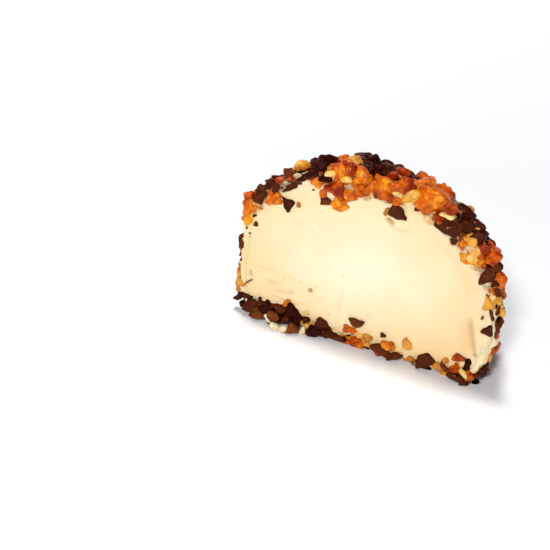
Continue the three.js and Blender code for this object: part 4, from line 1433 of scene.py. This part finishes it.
class TruffleColours(PropertyGroup):
    """Colours of the materials"""

    cream: colour_property("Cream", "Middle of the cut face", 252, 237, 203)
    # partly painted shade where the painted light falls off towards the edges, partly the cream's own warmer
    # tint
    cream_shaded_edge: colour_property("Cream Edge", "Cream towards the edge of the cut face", 249, 213, 156)
    cream_band: colour_property("Cream Band", "Softened cream round the rim", 252, 222, 178)
    # painted shade: the colour that darkens the cream in the pits and grooves
    cream_groove_shade: colour_property("Cream Hollow", "Cream in the pits and grooves", 190, 150, 80)
    chocolate: colour_property("Chocolate", "Dark chocolate", 46, 9, 3)
    # also the colour of the two light chips that stand for painted highlights
    chocolate_light: colour_property("Light Chocolate", "The lightest pieces of chocolate", 122, 62, 30)
    chocolate_cut: colour_property("Cut Chocolate", "Chocolate where the knife went through", 66, 22, 5)
    caramel: colour_property("Caramel", "Caramelised nut", 207, 95, 1)
    caramel_deep: colour_property("Deep Caramel", "The darkest caramel", 142, 38, 2)
    caramel_light: colour_property("Light Caramel", "The lightest caramel", 248, 162, 32)
    nut: colour_property("Nut", "Pale nut", 234, 162, 42)
    nut_light: colour_property("Light Nut", "The palest blotches of the pale nut", 254, 222, 148)
    nut_brown: colour_property("Brown Nut", "Browned blotches of the pale nut", 170, 96, 18)
    dust: colour_property("Dust", "Chocolate dust on the skin", 38, 10, 3)
    smear: colour_property("Smear", "Cream and caramel smeared between the pieces", 118, 50, 12)
    stain: colour_property("Stain", "Cream stained by the nut at the cut", 242, 184, 100)
    floor: colour_property("Floor", "The plain floor", 249, 250, 252)


class TruffleSettings(PropertyGroup):
    """All that can be changed"""

    sizes: PointerProperty(type=TruffleSizes)
    mix: PointerProperty(type=TruffleMix)
    colours: PointerProperty(type=TruffleColours)


# ---- Operators ---------------------------------------------------------------------------------------------
EDGE_ANGLE = 20  # edges of chocolate sharper than this many degrees are worn
FILLING = "cream_filling"
COAT = "crunch_coat"
# The crumbs: name, material and slot of each kind.
CRUMBS = {
    "C": ("chocolate_crumbs", chocolate_material, "dark_chocolate"),
    "N": ("caramel_crumbs", caramel_material, "caramel_nut"),
    "P": ("nut_crumbs", nut_material, "pale_nut"),
}


class TRUFFLE_OT_cream(Operator):
    """Make the cream filling, with its cut face"""

    bl_idname = "truffle.cream"
    bl_label = "Cream Filling"

    def execute(self, context):
        settings = context.scene.truffle
        points, loops, starts = cream_surface(settings.sizes.knife_wave / MM)
        x, y, z = points.T
        # painted shade: how deep each point lies in a groove or pit, darkening the cream there
        hollow = np.where(y < CREAM_DEPTH, marks(x, z) + pits(x, z), 0)
        shades = {"band": whitened(points), "hollow": hollow, **stained(points)}
        material = cream_material(settings.colours)
        new_piece("cream", points, loops, starts, 0 * x, material, FILLING, "cream_filling", **shades)
        return {"FINISHED"}


class TRUFFLE_OT_skin(Operator):
    """Make the skin of softened cream that holds the coat"""

    bl_idname = "truffle.skin"
    bl_label = "Skin"

    def execute(self, context):
        settings = context.scene.truffle
        lengths = (settings.sizes.skin_lumps, settings.sizes.band_raised, settings.sizes.knife_wave)
        points, loops, starts = skin_surface(*(length / MM for length in lengths))
        shades = {"band": whitened(points), "dusted": dusted(points), **stained(points)}
        material = skin_material(settings.colours)
        tone = np.zeros(len(points))
        new_piece("softened_skin", points, loops, starts, tone, material, COAT, "crunch_coat", **shades)
        return {"FINISHED"}


class TRUFFLE_OT_chocolate(Operator):
    """Make the chopped chocolate of the coat"""

    bl_idname = "truffle.chocolate"
    bl_label = "Chopped Chocolate"

    def execute(self, context):
        settings = context.scene.truffle
        material = chocolate_material(settings.colours)
        bared, others = of_kind(settings.sizes, settings.mix, "C")
        wedges, _ = of_kind(settings.sizes, settings.mix, "T")
        large = others.half.max(1) > LARGE_HALF
        parts = [*by_size("C", bared, FINE_GRID, MIDDLE_GRID), chunks("T", wedges, FINE_GRID)]
        parts.append(chunks("C", others.only(large), MIDDLE_GRID))
        new_piece("chocolate_chunks", *together(parts), material, COAT, "dark_chocolate")
        small = chopped(others.only(~large), CHOCOLATE_PLANES)
        piece = new_piece("chocolate_pieces", *small, material, COAT, "dark_chocolate", flat=True)
        if settings.sizes.worn_edge > 0:
            worn = piece.modifiers.new("worn_edges", "BEVEL")
            worn.width, worn.segments, worn.limit_method = settings.sizes.worn_edge, 1, "ANGLE"
            worn.angle_limit = math.radians(EDGE_ANGLE)
            worn.use_clamp_overlap = True
        return {"FINISHED"}


def nut_mesh(settings, name, kind, material, slot):
    """The nut pieces of one kind as one mesh."""
    bared, others = of_kind(settings.sizes, settings.mix, kind)
    parts = by_size(kind, bared, FINE_GRID, MIDDLE_GRID) + by_size(kind, others, MIDDLE_GRID, COARSE_GRID)
    new_piece(name, *together(parts), material(settings.colours), COAT, slot)


class TRUFFLE_OT_caramel(Operator):
    """Make the caramelised nut of the coat"""

    bl_idname = "truffle.caramel"
    bl_label = "Caramelised Nut"

    def execute(self, context):
        nut_mesh(context.scene.truffle, "caramel_nuts", "N", caramel_material, "caramel_nut")
        return {"FINISHED"}


class TRUFFLE_OT_nut(Operator):
    """Make the pale nut of the coat"""

    bl_idname = "truffle.nut"
    bl_label = "Pale Nut"

    def execute(self, context):
        nut_mesh(context.scene.truffle, "pale_nuts", "P", nut_material, "pale_nut")
        return {"FINISHED"}


class TRUFFLE_OT_smears(Operator):
    """Make the smears of soft cream that the knife dragged over the coat"""

    bl_idname = "truffle.smears"
    bl_label = "Cream Smears"

    def execute(self, context):
        settings = context.scene.truffle
        smears = Pieces.joined(of_kind(settings.sizes, settings.mix, "W"))
        made = chunks("W", smears, MIDDLE_GRID)
        material, band = cream_material(settings.colours), np.ones(len(made[0]))
        new_piece("cream_smears", *made, material, COAT, "cream_filling", band=band)
        return {"FINISHED"}


class TRUFFLE_OT_crumbs(Operator):
    """Make the fine crumbs between the pieces"""

    bl_idname = "truffle.crumbs"
    bl_label = "Crumbs"

    def execute(self, context):
        settings = context.scene.truffle
        crumbs = spread(FIRST_CRUMB, settings.sizes.crumb_spacing / MM, CRUMB_HALF, CRUMB_RISE)
        kind = kind_of(crumbs.index, settings.mix)
        for letter, (name, material, slot) in CRUMBS.items():
            made = chopped(crumbs.only(kind == letter), CRUMB_PLANES)
            new_piece(name, *made, material(settings.colours), COAT, slot, flat=True)
        return {"FINISHED"}


# ---- The stage ---------------------------------------------------------------------------------------------
# The camera stands at a distance from a point on the table, at an azimuth round it and an elevation above it.
CAMERA_AIM = (-35.7, 23.6)  # about the truffle's axis, in millimetres
CAMERA_AZIMUTH = 22.6
CAMERA_ELEVATION = 31.6
CAMERA_DISTANCE = 241.8
CAMERA_ROLL = 4.4
CAMERA_SENSOR = 36.0
CAMERA_LENS = 48.2
CAMERA_CLIP = (0.01, 20.0)  # nearest and furthest that it sees, in metres
FLOOR_RADIUS = 2.5  # metres
COVE = (0.5, 0.4)  # how far the floor's rim runs on outwards and upwards, in metres
COVE_RINGS = 9
COVE_SIDES = 96
WORLD_LIGHT = 0.13

# Lights: azimuth and elevation of where each stands, distance and width in metres, and power in watts.
LIGHTS = {
    "top_light": (-118, 78, 0.80, 0.14, 4.2),
    "front_light": (-4, 38, 0.90, 0.11, 4.3),
    "spark_light": (-12, 48, 0.70, 0.015, 0.15),
}


def cove():
    """The floor's points and faces: a flat disc whose rim curves up into a low wall all round. Along the rim
    the radius grows with the sine, and the height with one less the cosine, of an angle that goes to a right
    angle."""
    turn = np.arange(COVE_SIDES) * 2 * np.pi / COVE_SIDES
    bend = np.linspace(0, np.pi / 2, COVE_RINGS)[:, None]
    radius = FLOOR_RADIUS + COVE[0] * np.sin(bend)
    height = COVE[1] * (1 - np.cos(bend))
    points = np.stack([radius * np.cos(turn), radius * np.sin(turn), height + 0 * turn], -1)
    first = np.arange(COVE_SIDES)
    after = (first + 1) % COVE_SIDES
    rings = np.arange(COVE_RINGS - 1)[:, None] * COVE_SIDES
    corners = [rings + COVE_SIDES + first, rings + COVE_SIDES + after, rings + after, rings + first]
    walls = np.stack(corners, -1).reshape(-1, 4)
    return points.reshape(-1, 3).tolist(), [first.tolist(), *walls.tolist()]


def stand(azimuth, elevation, distance):
    """The offset of a point that stands at an azimuth, an elevation and a distance. Azimuth 0 is in front of
    the cut and grows to its right."""
    a, e = math.radians(azimuth), math.radians(elevation)
    return distance * Vector((math.sin(a) * math.cos(e), -math.cos(a) * math.cos(e), math.sin(e)))


def facing(place, aim, roll=0.0):
    """The matrix of a camera or light at a place that looks at an aim, turned about its own line of sight."""
    turn = (aim - place).to_track_quat("-Z", "Y").to_matrix().to_4x4()
    return Matrix.Translation(place) @ turn @ Matrix.Rotation(math.radians(roll), 4, "Z")


def new_object(name, data, matrix=None):
    """An object in the scene with its data, at the origin or where a matrix puts it."""
    made = bpy.data.objects.new(name, data)
    bpy.context.scene.collection.objects.link(made)
    if matrix is not None:
        made.matrix_world = matrix
    return made


def new_floor(colours):
    """The plain pale floor."""
    mesh = bpy.data.meshes.new("floor")
    points, faces = cove()
    mesh.from_pydata(points, [], faces)
    mesh.materials.append(floor_material(colours))
    new_object("floor", mesh)


def new_lights():
    """The soft lights, each turned to the truffle's middle, and an even white light from all round."""
    middle = (CAD_LOW + CAD_HIGH) / 2
    for name, (azimuth, elevation, distance, width, power) in LIGHTS.items():
        light = bpy.data.lights.new(name, "AREA")
        light.size, light.energy = width, power
        new_object(name, light, facing(middle + stand(azimuth, elevation, distance), middle))
    world = bpy.data.worlds.new("studio")
    world.use_nodes = True
    background = world.node_tree.nodes["Background"]
    background.inputs["Color"].default_value = (1, 1, 1, 1)
    background.inputs["Strength"].default_value = WORLD_LIGHT
    bpy.context.scene.world = world
    bpy.context.scene.view_settings.view_transform = "Standard"


def new_camera():
    """The camera, which looks at the truffle from the front right and above."""
    camera = bpy.data.cameras.new("camera")
    camera.sensor_width, camera.lens = CAMERA_SENSOR, CAMERA_LENS
    camera.clip_start, camera.clip_end = CAMERA_CLIP
    aim = (Vector((*CAMERA_AIM, 0)) + Vector(SHIFT)) * MM
    eye = aim + stand(CAMERA_AZIMUTH, CAMERA_ELEVATION, CAMERA_DISTANCE * MM)
    bpy.context.scene.camera = new_object("camera", camera, facing(eye, aim, CAMERA_ROLL))


class TRUFFLE_OT_stage(Operator):
    """Make the plain floor, the soft lights and the camera"""

    bl_idname = "truffle.stage"
    bl_label = "Stage"

    def execute(self, context):
        new_floor(context.scene.truffle.colours)
        new_lights()
        new_camera()
        return {"FINISHED"}


# ---- The panel and the run ---------------------------------------------------------------------------------
STEPS = (
    TRUFFLE_OT_stage,
    TRUFFLE_OT_cream,
    TRUFFLE_OT_skin,
    TRUFFLE_OT_chocolate,
    TRUFFLE_OT_caramel,
    TRUFFLE_OT_nut,
    TRUFFLE_OT_smears,
    TRUFFLE_OT_crumbs,
)


class TRUFFLE_PT_panel(Panel):
    """The truffle's operators and what can be changed"""

    bl_idname = "TRUFFLE_PT_panel"
    bl_label = "Halved Cream Truffle"
    bl_space_type = "VIEW_3D"
    bl_region_type = "UI"
    bl_category = "Truffle"

    def draw(self, context):
        settings = context.scene.truffle
        for step in STEPS:
            self.layout.operator(step.bl_idname)
        for group in (settings.sizes, settings.mix, settings.colours):
            box = self.layout.box()
            for name in group.bl_rna.properties.keys():
                if name not in ("rna_type", "name"):
                    box.prop(group, name)


CLASSES = (TruffleSizes, TruffleMix, TruffleColours, TruffleSettings, *STEPS, TRUFFLE_PT_panel)


def register():
    """Registers the classes and gives the scene its settings."""
    for kind in CLASSES:
        bpy.utils.register_class(kind)
    bpy.types.Scene.truffle = PointerProperty(type=TruffleSettings)


def unregister():
    """Takes the settings and the classes away again."""
    del bpy.types.Scene.truffle
    for kind in reversed(CLASSES):
        bpy.utils.unregister_class(kind)


def main():
    """Registers the classes and makes every piece in order."""
    register()
    for step in STEPS:
        group, name = step.bl_idname.split(".")
        getattr(getattr(bpy.ops, group), name)()


if __name__ == "__main__":
    main()
